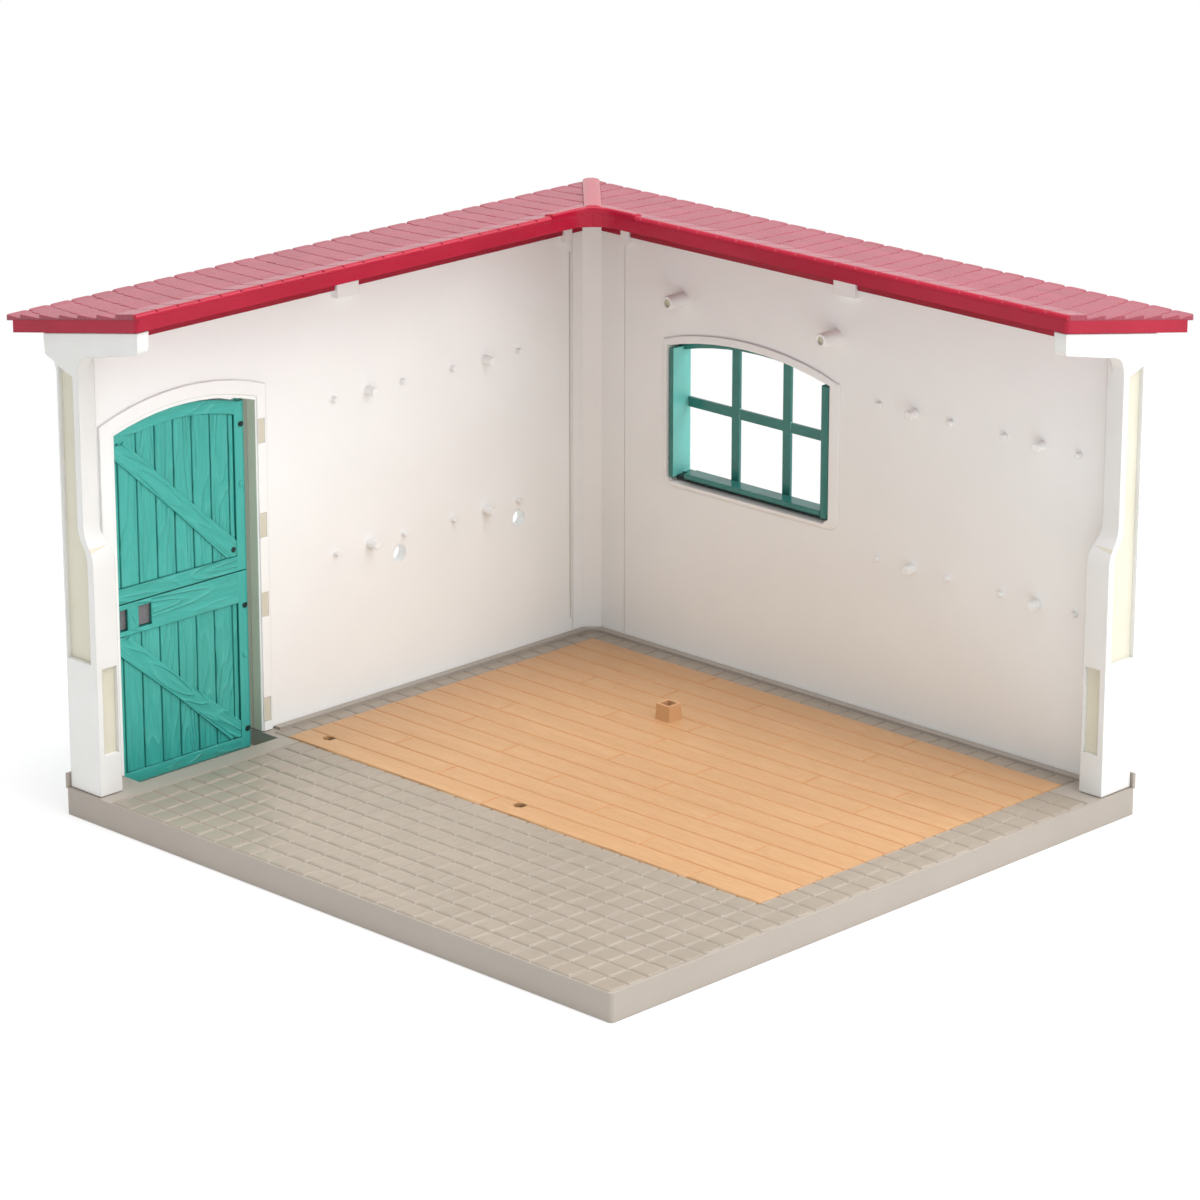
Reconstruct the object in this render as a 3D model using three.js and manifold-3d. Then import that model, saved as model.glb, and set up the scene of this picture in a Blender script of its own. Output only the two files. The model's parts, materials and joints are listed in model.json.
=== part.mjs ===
// An open corner room for a play set: a cobbled base tray with a planked floor, two walls
// that meet at a corner post, a two-leaf stable door with a bolt, an arched window and a
// hipped roof in two wings. Millimetres, +Z up. X runs along the front from the door wall,
// Y runs back to the window wall, and Z = 0 is the underside of the base.
//
// Each wall, its pillar and its roof wing are drawn in wing coordinates: u is the distance
// in from the outer base edge and v the distance from the free end of the wall. The door
// side has x = u and y = v, and the window side is the mirror image across the corner.

import * as THREE from 'three';
import { mergeVertices } from 'three/addons/utils/BufferGeometryUtils.js';
import Module from 'manifold-3d';

const wasm = await Module();
wasm.setup();

// Clearances and overruns
const seatGap = 0.3;
const overrun = 1;
const bond = 0.4;
const weldDistance = 1e-4;

// Base tray
const baseWidth = 270;
const baseDepth = 265;
const baseHeight = 10;
const baseCornerRadius = 1.5;
const traySide = 2;
const trayDeck = 3.2;
const lipThickness = 1.3;
const lipHeight = 5.5;
const lipRound = 0.7;
const curbHeight = 1;
const curbWidth = 3.2;
const pocketFloor = 2;
const pocketReach = 15.3;
const pocketSide = 2;
const casingNotchSide = 0.5;

// Cobbles: square stones in rows round the floor, inside a plain rim and a door step
const cobblePitch = 8.9;
const cobbleJointWidth = 1.4;
const cobbleJointDepth = 0.5;
const cobbleFrontRim = 1.3;
const cobbleSideRim = 2;
const cobbleStripInset = 25;
const doorStepWidth = 9;

// Planked floor
const floorLeft = 17.9;
const floorInsetRight = 19.6;
const floorFront = 90.1;
const floorInsetBack = 17.7;
const floorThickness = 1.7;
const floorRebate = 1.5;
const plankCount = 15;
const plankGroove = 0.8;
const plankGrooveDepth = 0.45;
const plankEndCells = 7;
const plankEndStride = 3;
const plankFirstEnds = [3, 2, 1, 3, 2, 1, 3, 1, 3, 2, 3, 1, 2, 3, 2];
const socketShares = [0.3833, 0.7555];
const socketFoot = 7;
const socketTop = 6.4;
const socketHeight = 6.8;
const socketBore = 4.7;
const releaseHoleRadius = 2.6;
const releaseHoleInset = 8.5;
const releaseHoleLeft = 29.9;
const releaseHoleRightShare = 0.4767;

// Walls
const wallThickness = 4;
const wallSetback = 2.1;
const postBevel = 5.2;
const postReachDoor = 16.5;
const postReachWindow = 23.5;
const seamWidth = 0.8;
const seamInset = 0.7;
const seamBottom = 16;
const seamTopDrop = 22.3;

// Doorway
const doorFront = 21.4;
const doorBack = 86.9;
const doorHeadDrop = 48.3;
const doorRise = 5.2;
const architraveRaise = 1;
const architraveFront = 6.7;
const architraveBack = 4.8;
const architraveTop = 6.5;
const architraveStep = 1.4;
const clipSlotEdge = 0.9;
const clipSlotWidth = 3.2;
const clipSlotHeight = 9.2;
const clipSlotShares = [0.1015, 0.3978, 0.6184, 0.8787];

// Window
const windowLeft = 46.8;
const windowRight = 127.8;
const windowSill = 78.3;
const windowHeadDrop = 54.1;
const windowRise = 5.6;
const windowCornerRadius = 2.2;
const mouldingRaise = 1.7;
const mouldingLeft = 2.2;
const mouldingRight = 5.4;
const mouldingTop = 3.4;
const mouldingBottom = 2.4;
const mouldingCornerRadius = 4;
const mouldingRound = 1.1;
const surroundWidth = 5;
const surroundRaise = 1.4;
const surroundRound = 0.6;

// Wall fittings: pegs in groups of three, key holes, hollow bosses and roof tabs
const pegRowShares = [0.3798, 0.6978];
const doorPegShares = [0.3105, 0.6446];
const windowPegShares = [0.2932, 0.7075];
const pegSpreadShare = 0.287;
const hubRadius = 1.7;
const hubHeight = 4.6;
const pegRadius = 1.05;
const pegHeight = 2;
const keyHoleShares = [0.3942, 0.7428];
const keyHoleLevelShare = 0.3397;
const keyHoleRadius = 3.25;
const bossOffsets = [7.4, 3.2];
const bossDrop = 34.3;
const bossLength = 9;
const bossRadius = 2.65;
const bossBore = 1.6;
const tabDrop = 17.8;
const tabDepth = 2.8;
const tabMiddleShare = 0.4935;
const tabWidth = 10.6;
const tabCornerWidth = 4.2;
const doorCornerTab = 19.4;
const windowCornerTab = 24;

// Pillars and their brackets
const pillarFront = 1.2;
const pillarFootReach = 17.7;
const pillarFootDepth = 11.2;
const pillarShaftReach = 13;
const pillarShaftDepth = 8.6;
const pillarBendLow = 95;
const pillarBendHigh = 109;
const panelDepth = 1.5;
const panelOuterMargin = 0.8;
const panelInnerMargin = 3;
const panelBottom = 58.7;
const panelTopDrop = 22.4;
const panelTopRise = 2.5;
const footPanelBottom = 25;
const footPanelTop = 57;
const footPanelFront = 3.7;
const footPanelBack = 10.3;
const bracketDepth = 5.2;
const bracketOuter = 4.8;
const bracketOuterFoot = 0.6;
const bracketEndDrop = 16.7;
const bracketOuterStep = 1.9;
const bracketReach = 45.1;
const bracketTipDrop = 8.6;
const bracketTipRadius = 2.4;
const bracketCurveReach = 21.8;
const bracketCurveDrop = 13.3;
const bracketFootDrop = 21.7;

// Roof
const roofInset = 46;
const roofOverhang = 20.5;
const roofEnd = 0.5;
const roofSlope = 0.182;
const roofInnerBottom = 184.3;
const fasciaHeight = 6.5;
const fasciaThickness = 2;
const roofSkin = 2;
const shingleButt = 1.6;
const shingleLap = 0.25;
const shinglePitch = 10.25;
const shingleFirst = 12.15;
const shingleRows = 6;
const shingleWidth = 9.5;
const shingleJointWidth = 0.8;
const shingleJointDepth = 0.5;
const shingleJointRiseShare = 1.1;
const shingleDrip = 4.5;
const roofCornerRadius = 12;
const roofNoseRadius = 1.6;
const ribThickness = 2;
const ribDrop = 14.7;
const ribStart = 20;
const ribCornerStop = 13.5;
const ribTabGap = 0.6;

// Hip cap
const capWidth = 5.9;
const capHeight = 2.4;
const capSideShare = 0.45;

// Door casing
const casingWidth = 6;
const casingThickness = 3.6;
const casingBottom = 2.3;
const sillThickness = 1.6;
const sillReach = 3.2;
const lugRecess = 0.6;
const keeperDepth = 4.6;

// Door leaves
const leafThickness = 4;
const leafInner = 2.5;
const leafFreeGap = 0.6;
const leafBottom = 4.3;
const leafSplit = 71.9;
const leafSplitGap = 0.5;
const leafArchGap = 1.2;
const leafArchShift = 2;
const plankRecess = 0.7;
const leafPlankPitch = 8.57;
const leafPlankFirst = 26.6;
const leafPlankCount = 7;
const leafStileEdge = 80.5;
const leafGroove = 0.7;
const leafGrooveDepth = 0.5;
const leafEdgeStrip = 1.5;
const upperBottomRail = 5.5;
const lowerTopRail = 11.7;
const lowerBottomRail = 4.4;
const archRail = 4.9;
const braceWidth = 6.4;
const braceInset = 5.1;
const braceFootInset = 2.5;
const upperBraceDrop = 6.8;
const lowerBraceDrop = 14.7;
const hingeY = 83.6;
const hingeX = 0.5;
const barrelRadius = 2.25;
const barrelDrop = 0.5;
const pinRadius = 1.1;
const pinLength = 3;
const pinGap = 0.3;
const topPinLength = 4.4;
const coreHoleRadius = 0.9;
const coreHoleDepth = 1.2;
const coreHoleOffset = 0.8;
const upperCoreHoleDrop = 9;
const lowerCoreHoleRise = 7.2;
const lowerCoreHoleDrop = 13.1;

// Door bolt, in a slot of the lower leaf's top rail
const boltLow = 62.3;
const boltHigh = 69.7;
const boltThickness = 1;
const boltCentre = 0.7;
const boltLength = 21.7;
const boltTravel = 4;
const boltWindowFirst = 3;
const boltWindowFirstWidth = 3.6;
const boltWindowSecond = 11.6;
const boltWindowSecondWidth = 6;
const knobRadius = 2;
const knobHeight = 1.8;
const knobPlace = 14.6;

// Window frame
const frameThickness = 2;
const frameDepth = 3.9;
const flangeWidth = 4;
const flangeThickness = 1.5;
const plateThickness = 2.1;
const snapBarWidth = 4;
const snapBarRadius = 1;
const plateBottomRise = 1.2;
const muntinWidth = 3.8;
const muntinThickness = 1.2;
const muntinShares = [0.3296, 0.6494];
const muntinLevelShare = 0.5104;
const muntinBossRadius = 3;

// Facets: each arc gets two for every one named here
const archFacets = 5;
const bendFacets = 7;
const roundFacets = 3;
const boreFacets = 7;
const pinFacets = 6;
const pegFacets = 4;
const hexFacets = 3;
const edgeFacets = 2;

// Colours, roughness
const finishes = {
  stone: new THREE.MeshStandardMaterial({ color: 0xbdb4a6, roughness: 0.55, metalness: 0 }),
  wood: new THREE.MeshStandardMaterial({ color: 0xecc69e, roughness: 0.6, metalness: 0 }),
  wall: new THREE.MeshStandardMaterial({ color: 0xe8e4de, roughness: 0.5, metalness: 0 }),
  trim: new THREE.MeshStandardMaterial({ color: 0xf0f0f0, roughness: 0.45, metalness: 0 }),
  roof: new THREE.MeshStandardMaterial({ color: 0xbe2846, roughness: 0.4, metalness: 0 }),
  door: new THREE.MeshStandardMaterial({ color: 0x4fb3a2, roughness: 0.45, metalness: 0 }),
  window: new THREE.MeshStandardMaterial({ color: 0x2f8f80, roughness: 0.4, metalness: 0 }),
  latch: new THREE.MeshStandardMaterial({ color: 0x5a5a5e, roughness: 0.5, metalness: 0 }),
};

// Places that follow from the driving sizes
const floorRight = baseWidth - floorInsetRight;
const floorBack = baseDepth - floorInsetBack;
const socketX = baseWidth * socketShares[0];
const socketY = baseDepth * socketShares[1];
const wallInner = wallSetback + wallThickness;
const wallBottom = baseHeight + seatGap;
const windowInner = baseDepth - wallInner;
const windowOuter = baseDepth - wallSetback;
const pillarOuter = lipThickness + seatGap;
const wallStart = pillarFootDepth + seatGap;
const leafOuter = leafInner - leafThickness;
const leafFree = doorFront + leafFreeGap;
const casingInner = wallSetback - seatGap;
const casingOuter = casingInner - casingThickness;
const roofTip = roofOverhang + shingleDrip;
const sillTop = casingBottom + sillThickness;
const boltMiddle = (boltLow + boltHigh) / 2;
const doorSpring = roofInnerBottom - doorHeadDrop;
const windowSpring = roofInnerBottom - windowHeadDrop;
const barrelTop = doorSpring - barrelDrop;
const tabBottom = roofInnerBottom - tabDrop;
const ribBottom = roofInnerBottom - ribDrop;
const clipSlotLevels = clipSlotShares.map((share) => doorSpring * share);
const pegRows = pegRowShares.map((share) => roofInnerBottom * share);
const boltX = [boltCentre - boltThickness / 2, boltCentre + boltThickness / 2];

// Points of a wall at shares of the way from one of its sizes to another.
const between = (low, high, shares) => shares.map((share) => low + (high - low) * share);
const doorPegCentres = between(doorBack, baseDepth, doorPegShares);
const windowPegCentres = between(windowRight, baseWidth, windowPegShares);
const keyHoleCentres = between(doorBack, baseDepth, keyHoleShares);
const muntinCentres = between(windowLeft, windowRight, muntinShares);

// Height of the roof's lower edge, of the deck under the shingles and of the skin's
// underside, at a distance u from the outer base edge.
const roofBottom = (u) => roofInnerBottom - roofSlope * (roofInset - u);
const roofDeck = (u) => roofBottom(u) + fasciaHeight - shingleButt;
const roofUnder = (u) => roofDeck(u) - roofSkin;
const wallTop = roofUnder(wallSetback) - seatGap;

// Solids

function solid(geometry) {
  const bare = geometry.clone();
  bare.deleteAttribute('normal');
  bare.deleteAttribute('uv');
  const merged = mergeVertices(bare, weldDistance);
  return new wasm.Manifold(new wasm.Mesh({
    numProp: 3,
    vertProperties: Float32Array.from(merged.attributes.position.array),
    triVerts: Uint32Array.from(merged.index.array),
  }));
}

const join = (pieces) => pieces.reduce((whole, piece) => whole.add(piece));
const carve = (body, cuts) => cuts.reduce((whole, piece) => whole.subtract(piece), body);

function geometryOf(body) {
  const mesh = body.getMesh();
  const geometry = new THREE.BufferGeometry();
  geometry.setAttribute('position', new THREE.Float32BufferAttribute(mesh.vertProperties, 3));
  geometry.setIndex(Array.from(mesh.triVerts));
  return geometry;
}

// Sweeps a shape along an axis. It is drawn in (y, z) for x, in (x, z) for y, in (x, y) for z.
// A round takes the edges off both ends.
function sweep(shape, axis, low, high, curveSegments = roundFacets, round = 0) {
  const geometry = new THREE.ExtrudeGeometry(shape, {
    depth: high - low - 2 * round,
    bevelEnabled: round > 0,
    bevelThickness: round,
    bevelSize: round,
    bevelOffset: -round,
    bevelSegments: edgeFacets,
    curveSegments,
  });
  const along = {
    x: [new THREE.Vector3(0, 1, 0), new THREE.Vector3(0, 0, 1), new THREE.Vector3(1, 0, 0)],
    y: [new THREE.Vector3(1, 0, 0), new THREE.Vector3(0, 0, 1), new THREE.Vector3(0, -1, 0)],
    z: [new THREE.Vector3(1, 0, 0), new THREE.Vector3(0, 1, 0), new THREE.Vector3(0, 0, 1)],
  }[axis];
  const place = { x: [low + round, 0, 0], y: [0, high - round, 0], z: [0, 0, low + round] }[axis];
  geometry.applyMatrix4(new THREE.Matrix4().makeBasis(...along));
  geometry.translate(...place);
  return solid(geometry);
}

function block([x0, x1], [y0, y1], [z0, z1]) {
  const geometry = new THREE.BoxGeometry(x1 - x0, y1 - y0, z1 - z0);
  geometry.translate((x0 + x1) / 2, (y0 + y1) / 2, (z0 + z1) / 2);
  return solid(geometry);
}

// A round bar along an axis between two points of that axis.
function bar(axis, radius, [x, y, z], low, high, facets = pinFacets) {
  const circle = new THREE.Shape();
  const centre = { x: [y, z], y: [x, z], z: [x, y] }[axis];
  circle.absarc(...centre, radius, 0, 2 * Math.PI, false);
  return sweep(circle, axis, low, high, facets);
}

const outline = (points) => new THREE.Shape(points.map(([a, b]) => new THREE.Vector2(a, b)));

// A V-shaped cut with its top width and its depth at a level, open above.
function vee(place, level, width, depth) {
  const half = (width / 2) * (1 + overrun / depth);
  return outline([
    [place, level - depth],
    [place + half, level + overrun],
    [place - half, level + overrun],
  ]);
}

// Places that part a stretch into equal steps as near a pitch as they come, both ends too.
function steps(low, high, pitch) {
  const count = Math.round((high - low) / pitch);
  return Array.from({ length: count + 1 }, (_, i) => low + ((high - low) * i) / count);
}

function roundedRectangle(a0, b0, a1, b1, radius) {
  const shape = new THREE.Shape();
  shape.moveTo(a0 + radius, b0);
  shape.lineTo(a1 - radius, b0);
  shape.absarc(a1 - radius, b0 + radius, radius, -Math.PI / 2, 0, false);
  shape.lineTo(a1, b1 - radius);
  shape.absarc(a1 - radius, b1 - radius, radius, 0, Math.PI / 2, false);
  shape.lineTo(a0 + radius, b1);
  shape.absarc(a0 + radius, b1 - radius, radius, Math.PI / 2, Math.PI, false);
  shape.lineTo(a0, b0 + radius);
  shape.absarc(a0 + radius, b0 + radius, radius, Math.PI, 1.5 * Math.PI, false);
  return shape;
}

// A segmental arch: its circle from the span, the springing height and the rise.
function archOver(low, high, spring, rise) {
  const half = (high - low) / 2;
  const radius = (half ** 2 + rise ** 2) / (2 * rise);
  return { middle: (low + high) / 2, centre: spring + rise - radius, radius };
}

const archHeight = (arch, a) => arch.centre + Math.sqrt(arch.radius ** 2 - (a - arch.middle) ** 2);
const grown = (arch, by) => ({ ...arch, radius: arch.radius + by });

// An arched opening or band, with its two lower corners rounded where a radius is given.
function archShape(arch, low, high, bottom, corner = 0) {
  const shape = new THREE.Shape();
  const angle = (a) => Math.atan2(archHeight(arch, a) - arch.centre, a - arch.middle);
  shape.moveTo(low + corner, bottom);
  shape.lineTo(high - corner, bottom);
  if (corner > 0) {
    shape.absarc(high - corner, bottom + corner, corner, -Math.PI / 2, 0, false);
  }
  shape.lineTo(high, archHeight(arch, high));
  shape.absarc(arch.middle, arch.centre, arch.radius, angle(high), angle(low), false);
  shape.lineTo(low, bottom + corner);
  if (corner > 0) {
    shape.absarc(low + corner, bottom + corner, corner, Math.PI, 1.5 * Math.PI, false);
  }
  return shape;
}

// The mirror image across the corner, from wing coordinates to the window side.
function acrossCorner(body) {
  const geometry = geometryOf(body);
  const position = geometry.attributes.position;
  for (let i = 0; i < position.count; i += 1) {
    const u = position.getX(i);
    const v = position.getY(i);
    position.setXY(i, baseWidth - v, baseDepth - u);
  }
  const corners = geometry.index.array;
  for (let i = 0; i < corners.length; i += 3) {
    [corners[i + 1], corners[i + 2]] = [corners[i + 2], corners[i + 1]];
  }
  return solid(geometry);
}

const doorArch = archOver(doorFront, doorBack, doorSpring, doorRise);
const windowArch = archOver(windowLeft, windowRight, windowSpring, windowRise);

// Base tray

// The lip along one outer edge, with its outer top edge rounded.
function lip(length) {
  const top = baseHeight + lipHeight;
  const shape = new THREE.Shape();
  shape.moveTo(0, baseHeight - bond);
  shape.lineTo(lipThickness, baseHeight - bond);
  shape.lineTo(lipThickness, top);
  shape.lineTo(lipRound, top);
  shape.absarc(lipRound, top - lipRound, lipRound, Math.PI / 2, Math.PI, false);
  return sweep(shape, 'y', 0, length);
}

// The curb at the foot of the walls, cut across the corner like the corner post.
function curb() {
  const inner = wallInner + seatGap;
  const outer = inner + curbWidth;
  const bevelInner = inner + postBevel + seatGap * (Math.SQRT2 - 1);
  const bevelOuter = outer + postBevel + (seatGap + curbWidth) * (Math.SQRT2 - 1) - curbWidth;
  const start = doorBack + casingWidth;
  const end = baseWidth - wallStart;
  const shape = outline([
    [inner, start],
    [outer, start],
    [outer, baseDepth - bevelOuter],
    [bevelOuter, baseDepth - outer],
    [end, baseDepth - outer],
    [end, baseDepth - inner],
    [bevelInner, baseDepth - inner],
    [inner, baseDepth - bevelInner],
  ]);
  return sweep(shape, 'z', baseHeight - bond, baseHeight + curbHeight);
}

// The joints between the cobbles: the front field and the strips beside and behind the floor.
function cobbleJoints() {
  const cut = (place) => vee(place, baseHeight, cobbleJointWidth, cobbleJointDepth);
  const left = pocketReach + doorStepWidth;
  const right = baseWidth - cobbleSideRim;
  const stripEnd = baseDepth - cobbleStripInset;
  const curbEdge = wallInner + seatGap + curbWidth + seatGap;
  const along = (y, low, high) => sweep(cut(y), 'x', low, high);
  const back = (x, low, high) => sweep(cut(x), 'y', low, high);
  const beside = (x) => x > floorRight + cobblePitch / 2;
  return join([
    ...steps(left, right, cobblePitch).map(
      (x) => back(x, cobbleFrontRim, beside(x) ? stripEnd : floorFront),
    ),
    ...steps(cobbleFrontRim, floorFront, cobblePitch).slice(0, -1).map((y) => along(y, left, right)),
    ...steps(floorFront, stripEnd, cobblePitch).map((y) => along(y, floorRight, right)),
    ...steps(floorLeft, floorRight, cobblePitch).map((x) => back(x, floorBack, baseDepth - curbEdge)),
    ...steps(floorFront, floorBack, cobblePitch).map((y) => along(y, curbEdge, floorLeft)),
  ]);
}

function baseTray() {
  const plan = roundedRectangle(0, 0, baseWidth, baseDepth, baseCornerRadius);
  const hollow = block(
    [traySide, baseWidth - traySide],
    [traySide, baseDepth - traySide],
    [-overrun, baseHeight - trayDeck],
  );
  const pocketHousing = block(
    [0, pocketReach + pocketSide],
    [doorFront - pocketSide, doorBack + pocketSide],
    [0, baseHeight],
  );
  const pocket = block(
    [-overrun, pocketReach],
    [doorFront, doorBack],
    [pocketFloor, baseHeight + overrun],
  );
  const casingNotch = block(
    [-overrun, lipThickness + overrun],
    [doorFront - casingWidth - casingNotchSide, doorBack + casingWidth + casingNotchSide],
    [baseHeight, baseHeight + lipHeight + overrun],
  );
  const rebate = block(
    [floorLeft - seatGap, floorRight + seatGap],
    [floorFront - seatGap, floorBack + seatGap],
    [baseHeight - floorRebate, baseHeight + overrun],
  );
  const lips = join([lip(baseDepth), acrossCorner(lip(baseWidth))]);
  const shell = carve(sweep(plan, 'z', 0, baseHeight), [hollow, cobbleJoints()]);
  const edges = carve(join([lips, curb()]), [casingNotch]);
  return carve(join([shell, pocketHousing, edges]), [pocket, rebate]);
}

// Planked floor

function floorPanel() {
  const bottom = baseHeight - floorRebate + seatGap;
  const top = bottom + floorThickness;
  const pitch = (floorBack - floorFront) / plankCount;
  const cell = (floorRight - floorLeft) / plankEndCells;
  const panel = block([floorLeft, floorRight], [floorFront, floorBack], [bottom, top]);
  const cut = (place) => vee(place, top, plankGroove, plankGrooveDepth);
  const grooves = [];
  for (let row = 0; row < plankCount; row += 1) {
    const y = floorFront + row * pitch;
    if (row > 0) {
      grooves.push(sweep(cut(y), 'x', floorLeft - overrun, floorRight + overrun));
    }
    const first = plankFirstEnds[row % plankFirstEnds.length];
    for (let end = first; end < plankEndCells; end += plankEndStride) {
      grooves.push(sweep(cut(floorLeft + end * cell), 'y', y, y + pitch));
    }
  }
  const socketEnd = baseHeight + socketHeight;
  const post = new THREE.CylinderGeometry(
    socketTop / Math.SQRT2,
    socketFoot / Math.SQRT2,
    socketEnd - bottom,
    4,
  );
  post.rotateY(Math.PI / 4);
  post.rotateX(Math.PI / 2);
  post.translate(socketX, socketY, (bottom + socketEnd) / 2);
  const half = socketBore / 2;
  const bore = block(
    [socketX - half, socketX + half],
    [socketY - half, socketY + half],
    [bottom - overrun, socketEnd + overrun],
  );
  const holes = [releaseHoleLeft, baseWidth * releaseHoleRightShare].map((x) => bar(
    'z',
    releaseHoleRadius,
    [x, floorFront + releaseHoleInset, 0],
    bottom - overrun,
    top + overrun,
    hexFacets,
  ));
  return carve(join([carve(panel, grooves), solid(post)]), [bore, ...holes]);
}

// Wall fittings, drawn on a door-side wall whose inner face is at x = wallInner

function pegGroup(centre, level, spread) {
  const face = wallInner - bond;
  const hub = bar('x', hubRadius, [0, centre, level], face, wallInner + hubHeight);
  const pegs = [-spread, spread].map((offset) => bar(
    'x',
    pegRadius,
    [0, centre + offset, level],
    face,
    wallInner + pegHeight,
    pegFacets,
  ));
  return join([hub, ...pegs]);
}

function pegGroups(centres) {
  const spread = Math.abs(centres[1] - centres[0]) * pegSpreadShare;
  return join(centres.flatMap(
    (centre) => pegRows.map((level) => pegGroup(centre, level, spread)),
  ));
}

// Blocks at the top of a wall, in the gaps of the roof's locating rib.
function roofTabs(length, cornerTab) {
  const span = (low, high) => block(
    [wallInner - bond, wallInner + tabDepth],
    [low, high],
    [tabBottom, wallTop],
  );
  const cornerHigh = length - cornerTab;
  const middle = length * tabMiddleShare;
  return join([
    span(middle - tabWidth / 2, middle + tabWidth / 2),
    span(cornerHigh - tabCornerWidth, cornerHigh),
  ]);
}

// Door wall

function doorWall() {
  const end = baseDepth - postReachDoor - seatGap;
  const slab = block([wallSetback, wallInner], [wallStart, end], [wallBottom, wallTop]);
  const band = (edge, raise) => sweep(
    archShape(
      grown(doorArch, architraveTop * edge),
      doorFront - architraveFront * edge,
      doorBack + architraveBack * edge,
      wallBottom,
    ),
    'x',
    wallInner - bond,
    wallInner + raise,
    archFacets,
  );
  const opening = sweep(
    archShape(doorArch, doorFront, doorBack, wallBottom - overrun),
    'x',
    wallSetback - overrun,
    wallInner + architraveRaise + overrun,
    archFacets,
  );
  const rabbet = sweep(
    archShape(
      grown(doorArch, architraveStep),
      doorFront - architraveStep,
      doorBack + architraveStep / 2,
      wallBottom - overrun,
    ),
    'x',
    wallInner + architraveRaise / 2,
    wallInner + architraveRaise + overrun,
    archFacets,
  );
  const slotFront = doorBack + clipSlotEdge;
  const slots = clipSlotLevels.map((level) => block(
    [wallSetback - overrun, wallInner + architraveRaise + overrun],
    [slotFront, slotFront + clipSlotWidth],
    [level, level + clipSlotHeight],
  ));
  const keyHoles = keyHoleCentres.map((y) => bar(
    'x',
    keyHoleRadius,
    [0, y, roofInnerBottom * keyHoleLevelShare],
    wallSetback - overrun,
    wallInner + overrun,
    boreFacets,
  ));
  const seamBack = end - seamInset;
  const seam = block(
    [wallSetback - overrun, wallInner + overrun],
    [seamBack - seamWidth, seamBack],
    [seamBottom, roofInnerBottom - seamTopDrop],
  );
  const fittings = [pegGroups(doorPegCentres), roofTabs(baseDepth, doorCornerTab)];
  const wall = join([slab, band(1, architraveRaise), ...fittings]);
  return carve(wall, [opening, rabbet, ...slots, ...keyHoles, seam]);
}

// Window wall

function windowWall() {
  const slab = block(
    [postReachWindow + seatGap, baseWidth - wallStart],
    [windowInner, windowOuter],
    [wallBottom, wallTop],
  );
  const moulding = sweep(
    archShape(
      grown(windowArch, mouldingTop),
      windowLeft - mouldingLeft,
      windowRight + mouldingRight,
      windowSill - mouldingBottom,
      mouldingCornerRadius,
    ),
    'y',
    windowInner - mouldingRaise,
    windowInner + wallThickness / 2,
    archFacets,
    mouldingRound,
  );
  const surround = sweep(
    archShape(
      grown(windowArch, surroundWidth),
      windowLeft - surroundWidth,
      windowRight + surroundWidth,
      windowSill - surroundWidth,
      mouldingCornerRadius,
    ),
    'y',
    windowOuter - wallThickness / 2,
    windowOuter + surroundRaise,
    archFacets,
    surroundRound,
  );
  const opening = sweep(
    archShape(windowArch, windowLeft, windowRight, windowSill, windowCornerRadius),
    'y',
    windowInner - mouldingRaise - overrun,
    windowOuter + surroundRaise + overrun,
    archFacets,
  );
  const bossCentres = [windowLeft + bossOffsets[0], windowRight + bossOffsets[1]];
  const bossLevel = roofInnerBottom - bossDrop;
  const bosses = bossCentres.map((x) => bar(
    'y',
    bossRadius,
    [x, 0, bossLevel],
    windowInner - bossLength,
    windowInner + bond,
    boreFacets,
  ));
  const bores = bossCentres.map((x) => bar(
    'y',
    bossBore,
    [x, 0, bossLevel],
    windowInner - bossLength - overrun,
    windowInner,
    pinFacets,
  ));
  const pegs = acrossCorner(pegGroups(windowPegCentres.map((x) => baseWidth - x)));
  const tabs = acrossCorner(roofTabs(baseWidth, windowCornerTab));
  return carve(join([slab, moulding, surround, ...bosses, pegs, tabs]), [opening, ...bores]);
}

// Corner post, which closes the joint of the two walls with a bevelled inner face

function cornerPost() {
  const back = baseDepth - wallSetback;
  const plan = outline([
    [wallSetback, baseDepth - postReachDoor],
    [wallInner, baseDepth - postReachDoor],
    [wallInner, windowInner - postBevel],
    [wallInner + postBevel, windowInner],
    [postReachWindow, windowInner],
    [postReachWindow, back],
    [wallSetback, back],
  ]);
  return sweep(plan, 'z', wallBottom, wallTop);
}

// Pillar with its bracket, in wing coordinates

// One S-shaped edge from (a0, low) to (a1, high).
function bend(shape, a0, low, a1, high) {
  const middle = (low + high) / 2;
  shape.lineTo(a0, low);
  shape.bezierCurveTo(a0, middle, a1, middle, a1, high);
}

function pillarProfile(near, foot, shaft, top) {
  const shape = new THREE.Shape();
  shape.moveTo(near, wallBottom);
  shape.lineTo(foot, wallBottom);
  bend(shape, foot, pillarBendLow, shaft, pillarBendHigh);
  shape.lineTo(shaft, top);
  shape.lineTo(near, top);
  return shape;
}

function bracket() {
  const top = (u) => roofBottom(u) - seatGap;
  const tip = bracketReach;
  const end = roofInnerBottom - bracketEndDrop;
  const foot = roofInnerBottom - bracketFootDrop;
  const curveTop = roofInnerBottom - bracketCurveDrop;
  const tipBottom = roofInnerBottom - bracketTipDrop;
  const shape = new THREE.Shape();
  shape.moveTo(-bracketOuter, top(-bracketOuter));
  shape.lineTo(-bracketOuter + bracketOuterFoot, end);
  shape.lineTo(bracketOuterFoot, end - bracketOuterStep);
  shape.lineTo(pillarOuter, foot);
  shape.lineTo(pillarShaftReach, foot);
  shape.quadraticCurveTo(pillarShaftReach, curveTop, bracketCurveReach, curveTop);
  shape.lineTo(tip - bracketTipRadius, tipBottom);
  shape.quadraticCurveTo(tip, tipBottom, tip, tipBottom + bracketTipRadius);
  shape.lineTo(tip, top(tip));
  return sweep(shape, 'y', pillarFront, pillarFront + bracketDepth, bendFacets);
}

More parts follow.
